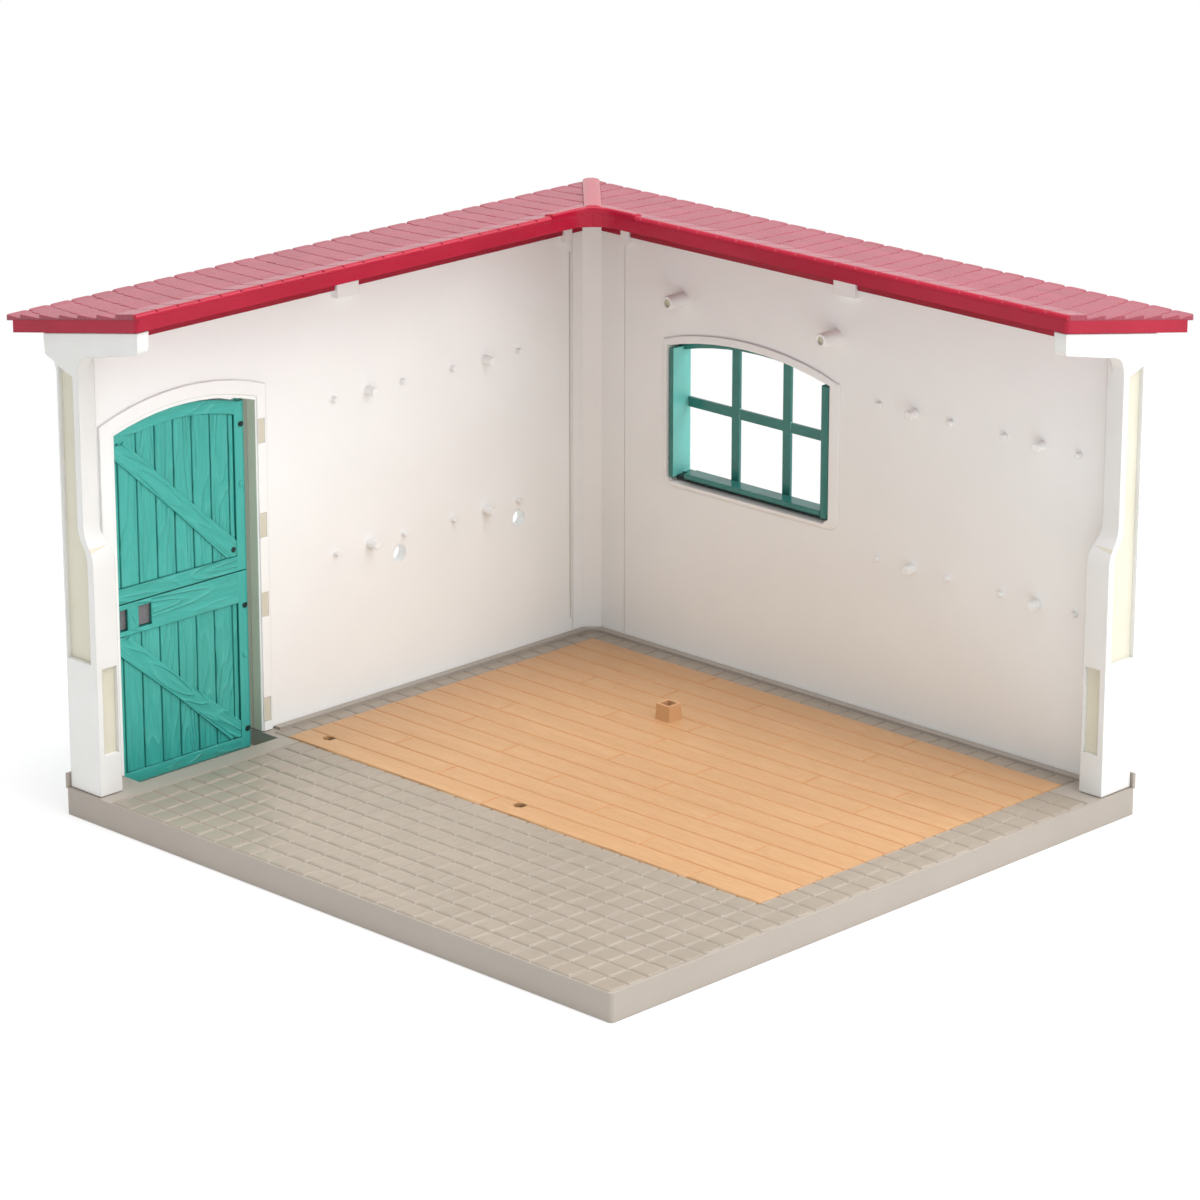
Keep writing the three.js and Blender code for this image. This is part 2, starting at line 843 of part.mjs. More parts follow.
// The long recess in the end face, whose inner edge follows the pillar's own.
function endPanel() {
  const low = pillarOuter + panelOuterMargin;
  const foot = pillarFootReach - panelInnerMargin;
  const shaft = pillarShaftReach - panelInnerMargin;
  const panelTop = roofInnerBottom - panelTopDrop;
  const shape = new THREE.Shape();
  shape.moveTo(low, panelBottom);
  shape.lineTo(foot, panelBottom);
  bend(shape, foot, pillarBendLow, shaft, pillarBendHigh);
  shape.lineTo(shaft, panelTop);
  shape.lineTo(low, panelTop + panelTopRise);
  return sweep(shape, 'y', pillarFront - overrun, pillarFront + panelDepth, bendFacets);
}

function pillar() {
  const top = roofBottom(pillarOuter) - seatGap;
  const front = pillarProfile(pillarOuter, pillarFootReach, pillarShaftReach, top);
  const side = pillarProfile(pillarFront, pillarFootDepth, pillarShaftDepth, top);
  const shaft = sweep(front, 'y', pillarFront, pillarFootDepth, bendFacets)
    .intersect(sweep(side, 'x', pillarOuter, pillarFootReach, bendFacets));
  const core = block([pillarOuter, wallInner], [pillarFront, pillarFootDepth], [wallBottom, top]);
  const footPanel = block(
    [pillarFootReach - panelDepth, pillarFootReach + overrun],
    [footPanelFront, footPanelBack],
    [footPanelBottom, footPanelTop],
  );
  return carve(join([shaft, core, bracket()]), [endPanel(), footPanel]);
}

// Roof wing, in wing coordinates: a hollow deck with skirts and a locating rib under it,
// and rows of shingles that lap over each other, mitred at the corner

// Everything beyond the mitre, set back square to it by a distance.
function beyondMitre(length, setBack) {
  const reach = roofInset + roofTip + length;
  const shift = setBack * Math.SQRT2;
  const plan = outline([
    [reach, length - reach - shift],
    [reach, length + reach],
    [-reach, length + reach],
    [-reach, length + reach - shift],
  ]);
  return sweep(plan, 'z', 0, roofInnerBottom + fasciaHeight + reach);
}

function roofDeckSolid(length) {
  const outer = -roofOverhang;
  const inner = roofInset;
  const body = outline([
    [outer, roofBottom(outer)],
    [inner, roofBottom(inner)],
    [inner, roofDeck(inner)],
    [outer, roofDeck(outer)],
  ]);
  const low = outer + fasciaThickness;
  const high = inner - fasciaThickness;
  const cavity = outline([
    [low, roofBottom(low) - overrun],
    [high, roofBottom(high) - overrun],
    [high, roofUnder(high)],
    [low, roofUnder(low)],
  ]);
  const end = length + roofTip;
  return carve(
    sweep(body, 'y', roofEnd, end),
    [sweep(cavity, 'y', roofEnd + fasciaThickness, end + overrun)],
  );
}

// The fillet where the inner fascias of the two wings meet, between two levels.
function innerFillet(length, low, high) {
  const corner = length - roofInset;
  const shape = new THREE.Shape();
  const radius = roofCornerRadius;
  shape.moveTo(roofInset - bond, corner + bond);
  shape.lineTo(roofInset - bond, corner - radius);
  shape.lineTo(roofInset, corner - radius);
  shape.absarc(roofInset + radius, corner - radius, radius, Math.PI, Math.PI / 2, true);
  shape.lineTo(roofInset + radius, corner + bond);
  return sweep(shape, 'z', low, high);
}

// What rounds off a wing's inner corner at its free end.
function noseCut() {
  const radius = roofNoseRadius;
  const corner = roofEnd + radius;
  const high = roofInnerBottom + fasciaHeight + overrun;
  const low = roofInnerBottom - overrun;
  return block(
    [roofInset - radius, roofInset + overrun],
    [roofEnd - overrun, corner],
    [low, high],
  ).subtract(bar('z', radius, [roofInset - radius, corner, 0], low - overrun, high + overrun));
}

// The shingle courses from the inner edge down to the drip edge, each as its upper point and
// its butt in (u, z). Each tapers up under the course above it.
function shingleCourses() {
  const onDeck = (u, rise) => [u, roofDeck(u) + rise];
  const courses = [];
  let upper = onDeck(roofInset, shingleButt);
  for (let row = 0; row < shingleRows; row += 1) {
    const butt = roofInset - shingleFirst - row * shinglePitch;
    courses.push([upper, onDeck(butt, shingleButt)]);
    upper = onDeck(butt, shingleLap);
  }
  courses.push([upper, onDeck(-roofTip, shingleButt)]);
  return courses;
}

function shingleSection() {
  return outline([
    ...shingleCourses().flat(),
    [-roofTip, roofDeck(-roofTip)],
    [-roofOverhang, roofDeck(-roofOverhang) - bond],
    [roofInset, roofDeck(roofInset) - bond],
  ]);
}

// The joint between two shingles at v, cut down the slope of their course. It runs out at
// the course above, and cuts a notch in the fascia on the uppermost course.
function shingleJoint([[upperU, upperZ], [buttU, buttZ]], v) {
  const uppermost = upperU === roofInset;
  const fall = (buttZ - upperZ) / (buttU - upperU);
  const low = buttU - overrun;
  const high = uppermost ? upperU + overrun : upperU - seatGap;
  const rise = uppermost ? 0 : (shingleJointDepth * shingleJointRiseShare) / (high - low);
  const geometry = new THREE.ExtrudeGeometry(vee(v, 0, shingleJointWidth, shingleJointDepth), {
    depth: high - low,
    bevelEnabled: false,
  });
  geometry.applyMatrix4(new THREE.Matrix4().makeBasis(
    new THREE.Vector3(0, 1, 0),
    new THREE.Vector3(0, 0, 1),
    new THREE.Vector3(1, 0, fall + rise),
  ));
  geometry.translate(low, 0, buttZ + fall * (low - buttU));
  return solid(geometry);
}

// All the joints of a wing, staggered from course to course like bricks.
function shingleJoints(length) {
  const joints = [];
  shingleCourses().forEach((course, row) => {
    const shift = row % 2 === 0 ? 1 : 1 / 2;
    const mitre = length - course[1][0];
    for (let v = roofEnd + shift * shingleWidth; v < mitre; v += shingleWidth) {
      joints.push(shingleJoint(course, v));
    }
  });
  return join(joints);
}

function locatingRib(length, cornerTab) {
  const inner = wallInner + seatGap;
  const rib = block(
    [inner, inner + ribThickness],
    [ribStart, length - ribCornerStop],
    [ribBottom, roofUnder(inner) + bond],
  );
  const gap = (low, high) => block(
    [inner - overrun, inner + ribThickness + overrun],
    [low - ribTabGap, high + ribTabGap],
    [ribBottom - overrun, roofUnder(inner)],
  );
  const cornerHigh = length - cornerTab;
  const middle = length * tabMiddleShare;
  return carve(rib, [
    gap(middle - tabWidth / 2, middle + tabWidth / 2),
    gap(cornerHigh - tabCornerWidth, cornerHigh),
  ]);
}

function roofWing(length, cornerTab) {
  const seat = seatGap / 2;
  const rib = locatingRib(length, cornerTab);
  const deck = roofDeck(roofInset);
  const frame = join([roofDeckSolid(length), rib, innerFillet(length, roofInnerBottom, deck)]);
  const shingles = join([
    sweep(shingleSection(), 'y', roofEnd, length + roofTip),
    innerFillet(length, deck - bond, deck + shingleButt),
  ]);
  const capped = beyondMitre(length, capWidth / 2 + seatGap);
  const wing = join([carve(frame, [beyondMitre(length, seat)]), carve(shingles, [capped])]);
  return carve(wing, [carve(shingleJoints(length), [capped]), noseCut()]);
}

// Hip cap, a rounded bar that covers the mitre from the inner corner to the drip edge

function hipCap() {
  const half = capWidth / 2;
  const side = capHeight * capSideShare;
  const fall = roofSlope * half / Math.SQRT2;
  const section = new THREE.Shape();
  section.moveTo(-half, seatGap - fall);
  section.lineTo(0, seatGap);
  section.lineTo(half, seatGap - fall);
  section.lineTo(half, side);
  section.quadraticCurveTo(half, capHeight, 0, capHeight);
  section.quadraticCurveTo(-half, capHeight, -half, side);
  const hip = (roofInset + roofTip) * Math.SQRT2 - half;
  const cap = new THREE.ExtrudeGeometry(section, {
    depth: hip + roofCornerRadius * (Math.SQRT2 - 1),
    bevelEnabled: false,
    curveSegments: roundFacets,
  });
  const across = Math.SQRT1_2;
  cap.applyMatrix4(new THREE.Matrix4().makeBasis(
    new THREE.Vector3(across, across, 0),
    new THREE.Vector3(0, 0, 1),
    new THREE.Vector3(across, -across, roofSlope * across),
  ));
  const outer = roofInset - hip * across;
  cap.translate(outer, baseDepth - outer, roofDeck(outer));
  return solid(cap);
}

// Door casing: a portal that clips on from outside, with its sill down in the base

function doorCasing() {
  const low = doorFront - casingWidth;
  const high = doorBack + casingWidth;
  const portal = sweep(
    archShape(grown(doorArch, casingWidth), low, high, wallBottom),
    'x',
    casingOuter,
    casingInner,
    archFacets,
  );
  const feet = block([casingOuter, -seatGap], [low, high], [casingBottom, wallBottom + bond]);
  const sill = block(
    [-seatGap - bond, sillReach],
    [doorFront + seatGap, doorBack - seatGap],
    [casingBottom, sillTop],
  );
  const slotFront = doorBack + clipSlotEdge;
  const lugs = clipSlotLevels.map((level) => block(
    [casingInner - bond, wallInner + architraveRaise - lugRecess],
    [slotFront + seatGap, slotFront + clipSlotWidth - seatGap],
    [level + seatGap, level + clipSlotHeight - seatGap],
  ));
  const opening = sweep(
    archShape(doorArch, doorFront, doorBack, sillTop),
    'x',
    casingOuter - overrun,
    casingInner + overrun,
    archFacets,
  );
  const keeper = block(
    [boltX[0] - 2 * seatGap, casingInner + overrun],
    [doorFront - keeperDepth, doorFront + overrun],
    [boltLow - 2 * seatGap, boltHigh + 2 * seatGap],
  );
  const bore = pinRadius + pinGap;
  const sillBore = bar('z', bore, [hingeX, hingeY, 0], casingBottom - overrun, sillTop + overrun);
  const notchTop = barrelTop + topPinLength + seatGap;
  const notch = join([
    bar('z', bore, [hingeX, hingeY, 0], barrelTop, notchTop),
    block([hingeX, casingInner + overrun], [hingeY - bore, hingeY + bore], [barrelTop, notchTop]),
  ]);
  return carve(carve(join([portal, feet]), [opening]).add(join([sill, ...lugs])), [
    keeper,
    sillBore,
    notch,
  ]);
}

// Door leaves

// A band between two points of the (y, z) plane, as an outline.
function bandOutline([y0, z0], [y1, z1], width) {
  const length = Math.hypot(y1 - y0, z1 - z0);
  const along = [(y1 - y0) / length, (z1 - z0) / length];
  const side = [-along[1] * width / 2, along[0] * width / 2];
  return outline([
    [y0 - side[0], z0 - side[1]],
    [y1 - side[0], z1 - side[1]],
    [y1 + side[0], z1 + side[1]],
    [y0 + side[0], z0 + side[1]],
  ]);
}

// The planked field of one leaf face, sunk between x0 and x1 round its rails and brace.
function plankField(field, brace, x0, x1) {
  return sweep(field, 'x', x0, x1, archFacets)
    .subtract(sweep(brace, 'x', x0 - overrun, x1 + overrun));
}

// Both sunk fields of a leaf with the grooves between the planks.
function leafRelief(field, braceTop, railTop) {
  const brace = bandOutline(
    [leafFree + braceInset, braceTop],
    [leafStileEdge - braceFootInset, railTop + braceFootInset],
    braceWidth,
  );
  const faces = [
    [leafInner - plankRecess, leafInner + overrun, -leafGrooveDepth, 0],
    [leafOuter - overrun, leafOuter + plankRecess, 0, leafGrooveDepth],
  ];
  return faces.flatMap(([x0, x1, deeperLow, deeperHigh]) => {
    const grooves = [leafStileEdge - leafGroove / 2];
    for (let i = 0; i < leafPlankCount; i += 1) {
      grooves.push(leafPlankFirst + i * leafPlankPitch);
    }
    const lines = join(grooves.map((y) => block(
      [x0 + deeperLow, x1 + deeperHigh],
      [y - leafGroove / 2, y + leafGroove / 2],
      [0, baseHeight + doorSpring + doorRise],
    )));
    const deep = plankField(field, brace, x0 + deeperLow, x1 + deeperHigh);
    return [plankField(field, brace, x0, x1), deep.intersect(lines)];
  });
}

const coreHoles = (levels) => levels.map((level) => bar(
  'x',
  coreHoleRadius,
  [0, hingeY + coreHoleOffset, level],
  leafInner - coreHoleDepth,
  leafInner + overrun,
  pegFacets,
));

function barrel(low, high) {
  return bar('z', barrelRadius, [hingeX, hingeY, 0], low, high, boreFacets);
}

const hingePin = (low, high) => bar('z', pinRadius, [hingeX, hingeY, 0], low, high, pegFacets);

function upperDoorLeaf() {
  const bottom = leafSplit + leafSplitGap;
  const arch = grown(doorArch, -leafArchGap);
  arch.middle -= leafArchShift;
  const slab = sweep(archShape(arch, leafFree, hingeY, bottom), 'x', leafOuter, leafInner, archFacets);
  const crown = block(
    [leafOuter - overrun, leafInner + overrun],
    [hingeY - barrelRadius, hingeY + overrun],
    [barrelTop, doorSpring + doorRise],
  );
  const railTop = bottom + upperBottomRail;
  const field = archShape(
    grown(arch, -archRail),
    leafFree + leafEdgeStrip,
    leafStileEdge,
    railTop,
  );
  const pins = [
    hingePin(bottom - pinLength, bottom + bond),
    hingePin(barrelTop - bond, barrelTop + topPinLength),
  ];
  const plate = carve(slab, [crown, ...leafRelief(field, doorSpring - upperBraceDrop, railTop)]);
  const holes = coreHoles([doorSpring - upperCoreHoleDrop]);
  return carve(join([plate, barrel(bottom, barrelTop), ...pins]), holes);
}

function lowerDoorLeaf() {
  const slab = block([leafOuter, leafInner], [leafFree, hingeY], [leafBottom, leafSplit]);
  const railTop = leafBottom + lowerBottomRail;
  const fieldTop = leafSplit - lowerTopRail;
  const field = outline([
    [leafFree + leafEdgeStrip, railTop],
    [leafStileEdge, railTop],
    [leafStileEdge, fieldTop],
    [leafFree + leafEdgeStrip, fieldTop],
  ]);
  const boltFree = leafFree + seatGap;
  const slot = block(
    [boltX[0] - seatGap, boltX[1] + seatGap],
    [leafFree - overrun, boltFree + boltLength + seatGap],
    [boltLow - seatGap, boltHigh + seatGap],
  );
  const sight = (place, width) => block(
    [boltX[1], leafInner + overrun],
    [leafFree + place, leafFree + place + width],
    [boltLow - seatGap, boltHigh + seatGap],
  );
  const knobY = boltFree + knobPlace;
  const knobWindow = block(
    [leafOuter - overrun, boltX[0]],
    [knobY - knobRadius - boltTravel - seatGap, knobY + knobRadius + seatGap],
    [boltMiddle - knobRadius - seatGap, boltMiddle + knobRadius + seatGap],
  );
  const plate = carve(slab, leafRelief(field, leafSplit - lowerBraceDrop, railTop));
  const pin = hingePin(casingBottom, leafBottom + bond);
  const socket = bar(
    'z',
    pinRadius + pinGap,
    [hingeX, hingeY, 0],
    leafSplit - pinLength - seatGap,
    leafSplit + overrun,
    pegFacets,
  );
  return carve(join([plate, barrel(leafBottom, leafSplit), pin]), [
    slot,
    sight(boltWindowFirst, boltWindowFirstWidth),
    sight(boltWindowSecond, boltWindowSecondWidth),
    knobWindow,
    socket,
    ...coreHoles([leafBottom + lowerCoreHoleRise, leafSplit - lowerCoreHoleDrop]),
  ]);
}

// Door bolt: a flat plate that slides into the casing, with a round knob outside

function doorBolt() {
  const free = leafFree + seatGap;
  const plate = block(boltX, [free, free + boltLength], [boltLow, boltHigh]);
  const knob = bar(
    'x',
    knobRadius,
    [0, free + knobPlace, boltMiddle],
    leafOuter - knobHeight,
    boltX[0] + bond,
  );
  return plate.add(knob);
}

// Window frame: a ring of panes that sits outside on the surround, with snap plates inward

function windowFrame() {
  const front = windowOuter + surroundRaise + seatGap;
  const back = front + frameDepth;
  const ring = (inset, y0, y1) => sweep(
    archShape(
      grown(windowArch, -inset),
      windowLeft + inset,
      windowRight - inset,
      windowSill + inset,
      Math.max(windowCornerRadius - inset, seatGap),
    ),
    'y',
    y0,
    y1,
    archFacets,
  );
  const flange = ring(-flangeWidth, front, front + flangeThickness);
  const rim = ring(seatGap, front, back);
  const clear = ring(seatGap + frameThickness, front - overrun, back + overrun);
  const face = [back - muntinThickness, back];
  const half = muntinWidth / 2;
  const crown = windowSpring + windowRise;
  const tall = [windowSill, crown];
  const uprights = muntinCentres.map((x) => block([x - half, x + half], face, tall));
  const [muntinLevel] = between(windowSill, crown, [muntinLevelShare]);
  const level = [muntinLevel - half, muntinLevel + half];
  const bosses = muntinCentres.map((x) => bar('y', muntinBossRadius, [x, 0, muntinLevel], ...face));
  const bars = join([...uprights, block([windowLeft, windowRight], face, level), ...bosses])
    .intersect(ring(seatGap + frameThickness / 2, ...face));
  const plateLow = windowSill + plateBottomRise;
  const plateHigh = windowSpring - seatGap;
  const left = block(
    [windowLeft + seatGap, windowLeft + seatGap + plateThickness],
    [windowInner, front + bond],
    [plateLow, plateHigh],
  );
  const right = sweep(
    roundedRectangle(
      windowRight - seatGap - snapBarWidth,
      windowInner,
      windowRight - seatGap,
      front + flangeThickness,
      snapBarRadius,
    ),
    'z',
    plateLow,
    plateHigh,
  );
  return join([carve(join([flange, rim]), [clear]), bars, left, right]);
}

// Assembly, with its origin under the middle of the whole outline

function part(name, body, finish) {
  const mesh = new THREE.Mesh(geometryOf(body), finishes[finish]);
  mesh.name = name;
  return mesh;
}

const room = new THREE.Group();
room.name = 'corner_room';
room.position.set((roofTip - baseWidth) / 2, -(baseDepth + roofTip) / 2, 0);
room.add(
  part('base_tray', baseTray(), 'stone'),
  part('floor_panel', floorPanel(), 'wood'),
  part('door_wall', doorWall(), 'wall'),
  part('window_wall', windowWall(), 'wall'),
  part('corner_post', cornerPost(), 'wall'),
  part('door_wall_pillar', pillar(), 'trim'),
  part('window_wall_pillar', acrossCorner(pillar()), 'trim'),
  part('roof_door_wing', roofWing(baseDepth, doorCornerTab), 'roof'),
  part('roof_window_wing', acrossCorner(roofWing(baseWidth, windowCornerTab)), 'roof'),
  part('hip_cap', hipCap(), 'roof'),
  part('door_casing', doorCasing(), 'trim'),
  part('upper_door_leaf', upperDoorLeaf(), 'door'),
  part('lower_door_leaf', lowerDoorLeaf(), 'door'),
  part('door_bolt', doorBolt(), 'latch'),
  part('window_frame', windowFrame(), 'window'),
);

const playset = new THREE.Group();
playset.add(room);

export default playset;
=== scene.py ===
"""Looks for an open corner room of a play set: cobbled base, planked floor, two walls, a
two-leaf stable door, an arched window and a hipped shingle roof."""

import json
import math
import random

import bmesh
import bpy
from mathutils import Matrix, Vector

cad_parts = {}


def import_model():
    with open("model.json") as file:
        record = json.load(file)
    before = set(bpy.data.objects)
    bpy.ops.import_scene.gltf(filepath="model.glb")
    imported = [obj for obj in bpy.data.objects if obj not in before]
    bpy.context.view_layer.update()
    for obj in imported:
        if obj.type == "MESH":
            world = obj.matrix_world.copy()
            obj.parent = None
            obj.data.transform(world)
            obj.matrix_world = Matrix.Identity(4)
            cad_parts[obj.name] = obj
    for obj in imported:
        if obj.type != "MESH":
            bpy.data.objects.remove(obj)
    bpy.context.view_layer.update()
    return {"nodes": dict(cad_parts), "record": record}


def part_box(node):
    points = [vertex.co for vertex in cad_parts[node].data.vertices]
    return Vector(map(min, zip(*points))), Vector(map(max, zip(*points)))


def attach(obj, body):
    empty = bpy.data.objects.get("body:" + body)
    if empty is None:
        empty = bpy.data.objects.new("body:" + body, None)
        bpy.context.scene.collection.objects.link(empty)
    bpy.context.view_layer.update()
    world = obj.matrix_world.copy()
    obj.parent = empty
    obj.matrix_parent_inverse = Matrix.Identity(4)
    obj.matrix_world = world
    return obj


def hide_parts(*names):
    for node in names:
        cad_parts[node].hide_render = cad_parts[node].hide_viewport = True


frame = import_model()

MM = 0.001

# Sizes in millimetres, the same as the part's own
DECK = 10
STEP_EDGE = 24.3
FRONT_RIM = 1.3
SIDE_RIM = 2
STRIP_INSET = 25
CURB_EDGE = 9.6
COBBLE_PITCH = 8.9
PLANK_ROWS = 15
PLANK_CELLS = 7
PLANK_STRIDE = 3
PLANK_FIRST_ENDS = (3, 2, 1, 3, 2, 1, 3, 1, 3, 2, 3, 1, 2, 3, 2)
FLOOR_TOP = 10.5
RELEASE_HOLES = ((29.9, 98.6), (128.7, 98.6))
RELEASE_HOLE_RADIUS = 2.5
SOCKET = (103.5, 200.2)
SOCKET_CUT = 5.6
ROOF_INSET = 46
ROOF_TIP = 25
ROOF_END = 0.5
ROOF_SLOPE = 0.182
ROOF_DECK = 189.2
ROOF_CUT = 0.4
CAP_CLEARANCE = 3.25
SHINGLE_WIDTH = 9.5
SHINGLE_FIRST = 12.15
SHINGLE_PITCH = 10.25
SHINGLE_ROWS = 6
SHINGLE_BUTT = 1.6
SHINGLE_LAP = 0.25
NOSE_RADIUS = 1.6
CORNER_RADIUS = 12
WALL_FACE = 6.1
PEG_LEVELS = (70.0, 128.6)
DOOR_PEG_CENTRES = (142.2, 201.7)
WINDOW_PEG_CENTRES = (169.5, 228.4)
PEG_SPREADS = (17.08, 16.9)
HUB = (1.72, 4.65)
PEG = (1.08, 2.05)
BOSSES = ((54.2, 150.0), (131.0, 150.0))
LUG_SIDES = (87.83, 90.97)
LUG_LEVELS = (13.8, 54.1, 84.1, 119.5)
LUG_HEIGHT = 9.2

# Camera, in the row frame
CAMERA_PLACE = (1.13106, -1.15106, 0.60117)
CAMERA_AZIMUTH = 44.5
CAMERA_PITCH = 18.097
CAMERA_LENS = 144.2
SENSOR = 36.0
CLIP = (0.01, 50.0)


def camera():
    data = bpy.data.cameras.new("camera")
    data.lens = CAMERA_LENS
    data.sensor_width = SENSOR
    data.clip_start, data.clip_end = CLIP
    eye = bpy.data.objects.new("camera", data)
    eye.location = CAMERA_PLACE
    eye.rotation_euler = (math.radians(90 - CAMERA_PITCH), 0, math.radians(CAMERA_AZIMUTH))
    bpy.context.scene.collection.objects.link(eye)
    bpy.context.scene.camera = eye


# Node helpers for materials

FULL_LEVEL = 255
SRGB_KNEE = 0.04045
SRGB_SLOPE = 12.92
SRGB_OFFSET = 0.055
SRGB_POWER = 2.4


def srgb(red, green, blue):
    """A colour written as 0 to 255, as linear numbers."""
    def linear(level):
        level /= FULL_LEVEL
        if level <= SRGB_KNEE:
            return level / SRGB_SLOPE
        return ((level + SRGB_OFFSET) / (1 + SRGB_OFFSET)) ** SRGB_POWER
    return (linear(red), linear(green), linear(blue), 1)


def grey(level):
    return (level, level, level, 1)


def new_node(tree, kind, inputs, **settings):
    """A node with its settings. Each of its inputs is given as a value or as a socket."""
    made = tree.nodes.new(kind)
    for name, value in settings.items():
        setattr(made, name, value)
    for name, value in inputs.items():
        if isinstance(value, bpy.types.NodeSocket):
            tree.links.new(value, made.inputs[name])
        else:
            made.inputs[name].default_value = value
    return made


TONE_ENDS = (0.3, 0.7)
EDGE_RADIUS = 0.3


class Finish:
    """A material with a Principled shader and short calls for the nodes that feed it."""

    def __init__(self, name, roughness, specular=0.5):
        self.material = bpy.data.materials.new(name)
        self.material.use_nodes = True
        self.tree = self.material.node_tree
        self.shader = self.tree.nodes["Principled BSDF"]
        self.shader.inputs["Roughness"].default_value = roughness
        self.shader.inputs["Specular IOR Level"].default_value = specular
        self.place = self.node("ShaderNodeTexCoord", {}).outputs["Object"]

    def node(self, kind, inputs, **settings):
        return new_node(self.tree, kind, inputs, **settings)

    def noise(self, scale, detail, roughness=0.5, distortion=0, vector=None):
        inputs = {
            "Vector": vector or self.place, "Scale": scale, "Detail": detail,
            "Roughness": roughness, "Distortion": distortion,
        }
        return self.node("ShaderNodeTexNoise", inputs).outputs["Fac"]

    def ramp(self, source, stops):
        made = self.node("ShaderNodeValToRGB", {"Fac": source})
        elements = made.color_ramp.elements
        while len(elements) < len(stops):
            elements.new(1 / 2)
        for element, (position, colour) in zip(elements, stops):
            element.position = position
            element.color = colour
        return made.outputs["Color"]

    def tone(self, source, dark, light):
        """Runs between two colours over the middle of a noise."""
        return self.ramp(source, list(zip(TONE_ENDS, (srgb(*dark), srgb(*light)))))

    def mix(self, factor, one, two):
        return self.node("ShaderNodeMix", {0: factor, 6: one, 7: two}, data_type="RGBA").outputs[2]

    def rounding(self, radius=EDGE_RADIUS):
        """Normals that round off each edge over a small radius."""
        return self.node("ShaderNodeBevel", {"Radius": radius * MM}, samples=4).outputs["Normal"]

    def bump(self, height, depth, strength, normal):
        inputs = {"Height": height, "Distance": depth * MM, "Strength": strength, "Normal": normal}
        return self.node("ShaderNodeBump", inputs).outputs["Normal"]

    def finish(self, colour, normal):
        self.tree.links.new(colour, self.shader.inputs["Base Color"])
        self.tree.links.new(normal, self.shader.inputs["Normal"])
        return self.material


SKIN_STRENGTH = 0.6


def plastic(name, dark, light, roughness, patch=45.0, grain=1800.0, depth=0.012, edge=EDGE_RADIUS,
            specular=0.5):
    """Moulded plastic: a faint cloudy tone over a fine eroded skin."""
    finish = Finish(f"{name}_plastic", roughness, specular)
    tone = finish.tone(finish.noise(patch, 3), dark, light)
    skin = finish.noise(grain, 2)
    return finish.finish(tone, finish.bump(skin, depth, SKIN_STRENGTH, finish.rounding(edge)))


PIT_PATCH = 60.0
PIT_ROUGHNESS = 0.6
PIT_STRENGTH = 0.8


def pitted(name, dark, light, pit, depth, gloss, specular):
    """Cast stone or shingle: a leathery skin with uneven gloss."""
    finish = Finish(f"{name}_plastic", gloss[0], specular)
    tone = finish.tone(finish.noise(PIT_PATCH, 3), dark, light)
    skin = finish.noise(pit, 4, PIT_ROUGHNESS)
    uneven = {"Value": finish.noise(pit / 2, 2), "To Min": gloss[0], "To Max": gloss[1]}
    rough = finish.node("ShaderNodeMapRange", uneven).outputs["Result"]
    finish.tree.links.new(rough, finish.shader.inputs["Roughness"])
    return finish.finish(tone, finish.bump(skin, depth, PIT_STRENGTH, finish.rounding()))


# Stretches of the grain's noises per millimetre, along the board and across it
GRAIN_FIELD = (0.018, 0.11)
GRAIN_FIBRES = (0.07, 1.6)
GRAIN_TONE = (0.02, 0.16)
GRAIN_SHIFT = (3.1, 5.7, 1.9)
FIELD_ROUGHNESS = 0.4
FIBRE_ROUGHNESS = 0.6
FIBRE_DISTORTION = 0.3
LINE_STOPS = ((0, 1), (0.2, 0.2), (0.5, 0))
LINE_TINT = 0.25
LINE_STRENGTH = 0.9
FIBRE_STOPS = ((0.35, 0.35), (0.55, 0))
FIBRE_STRENGTH = 0.8


def grained(name, dark, light, grain_and_highlight_tint, roughness, along, loops, relief, fibre):
    """Wood grain cast in plastic. Its lines are the contours of a noise drawn out along one
    axis of the piece, each board with its own, over fine fibres."""
    finish = Finish(name, roughness)
    island = finish.node("ShaderNodeNewGeometry", {}).outputs["Random Per Island"]
    shift = finish.node("ShaderNodeVectorMath", {0: GRAIN_SHIFT, "Scale": island}, operation="SCALE")

    def drawn_out(lengthwise, across):
        scale = [across / MM] * 3
        scale["XYZ".index(along)] = lengthwise / MM
        stretched = finish.node("ShaderNodeMapping", {"Vector": finish.place, "Scale": scale})
        pair = {0: stretched.outputs["Vector"], 1: shift.outputs["Vector"]}
        return finish.node("ShaderNodeVectorMath", pair, operation="ADD").outputs["Vector"]

    def shades(source, stops):
        return finish.ramp(source, [(place, grey(level)) for place, level in stops])

    field = finish.noise(1, 1, FIELD_ROUGHNESS, vector=drawn_out(*GRAIN_FIELD))
    times = finish.node("ShaderNodeMath", {0: field, 1: loops}, operation="MULTIPLY")
    line = finish.node("ShaderNodeMath", {0: times.outputs[0], 1: 1 / 2}, operation="PINGPONG")
    narrow = shades(line.outputs[0], LINE_STOPS)
    fibres = finish.noise(1, 3, FIBRE_ROUGHNESS, FIBRE_DISTORTION, drawn_out(*GRAIN_FIBRES))
    tone = finish.tone(finish.noise(1, 2, vector=drawn_out(*GRAIN_TONE)), dark, light)
    # Lines and fibres run toward the tint; on the door that tint is paler, a painted highlight
    tinted = finish.mix(shades(fibres, FIBRE_STOPS), tone, srgb(*grain_and_highlight_tint))
    tinted = finish.mix(shades(narrow, ((0, 0), (1, LINE_TINT))), tinted, srgb(*grain_and_highlight_tint))
    raised = finish.bump(narrow, relief, LINE_STRENGTH, finish.rounding())
    return finish.finish(tinted, finish.bump(fibres, fibre, FIBRE_STRENGTH, raised))


# Finishes. The grained ones end with the grain's axis, its loops, and its depths in millimetres.

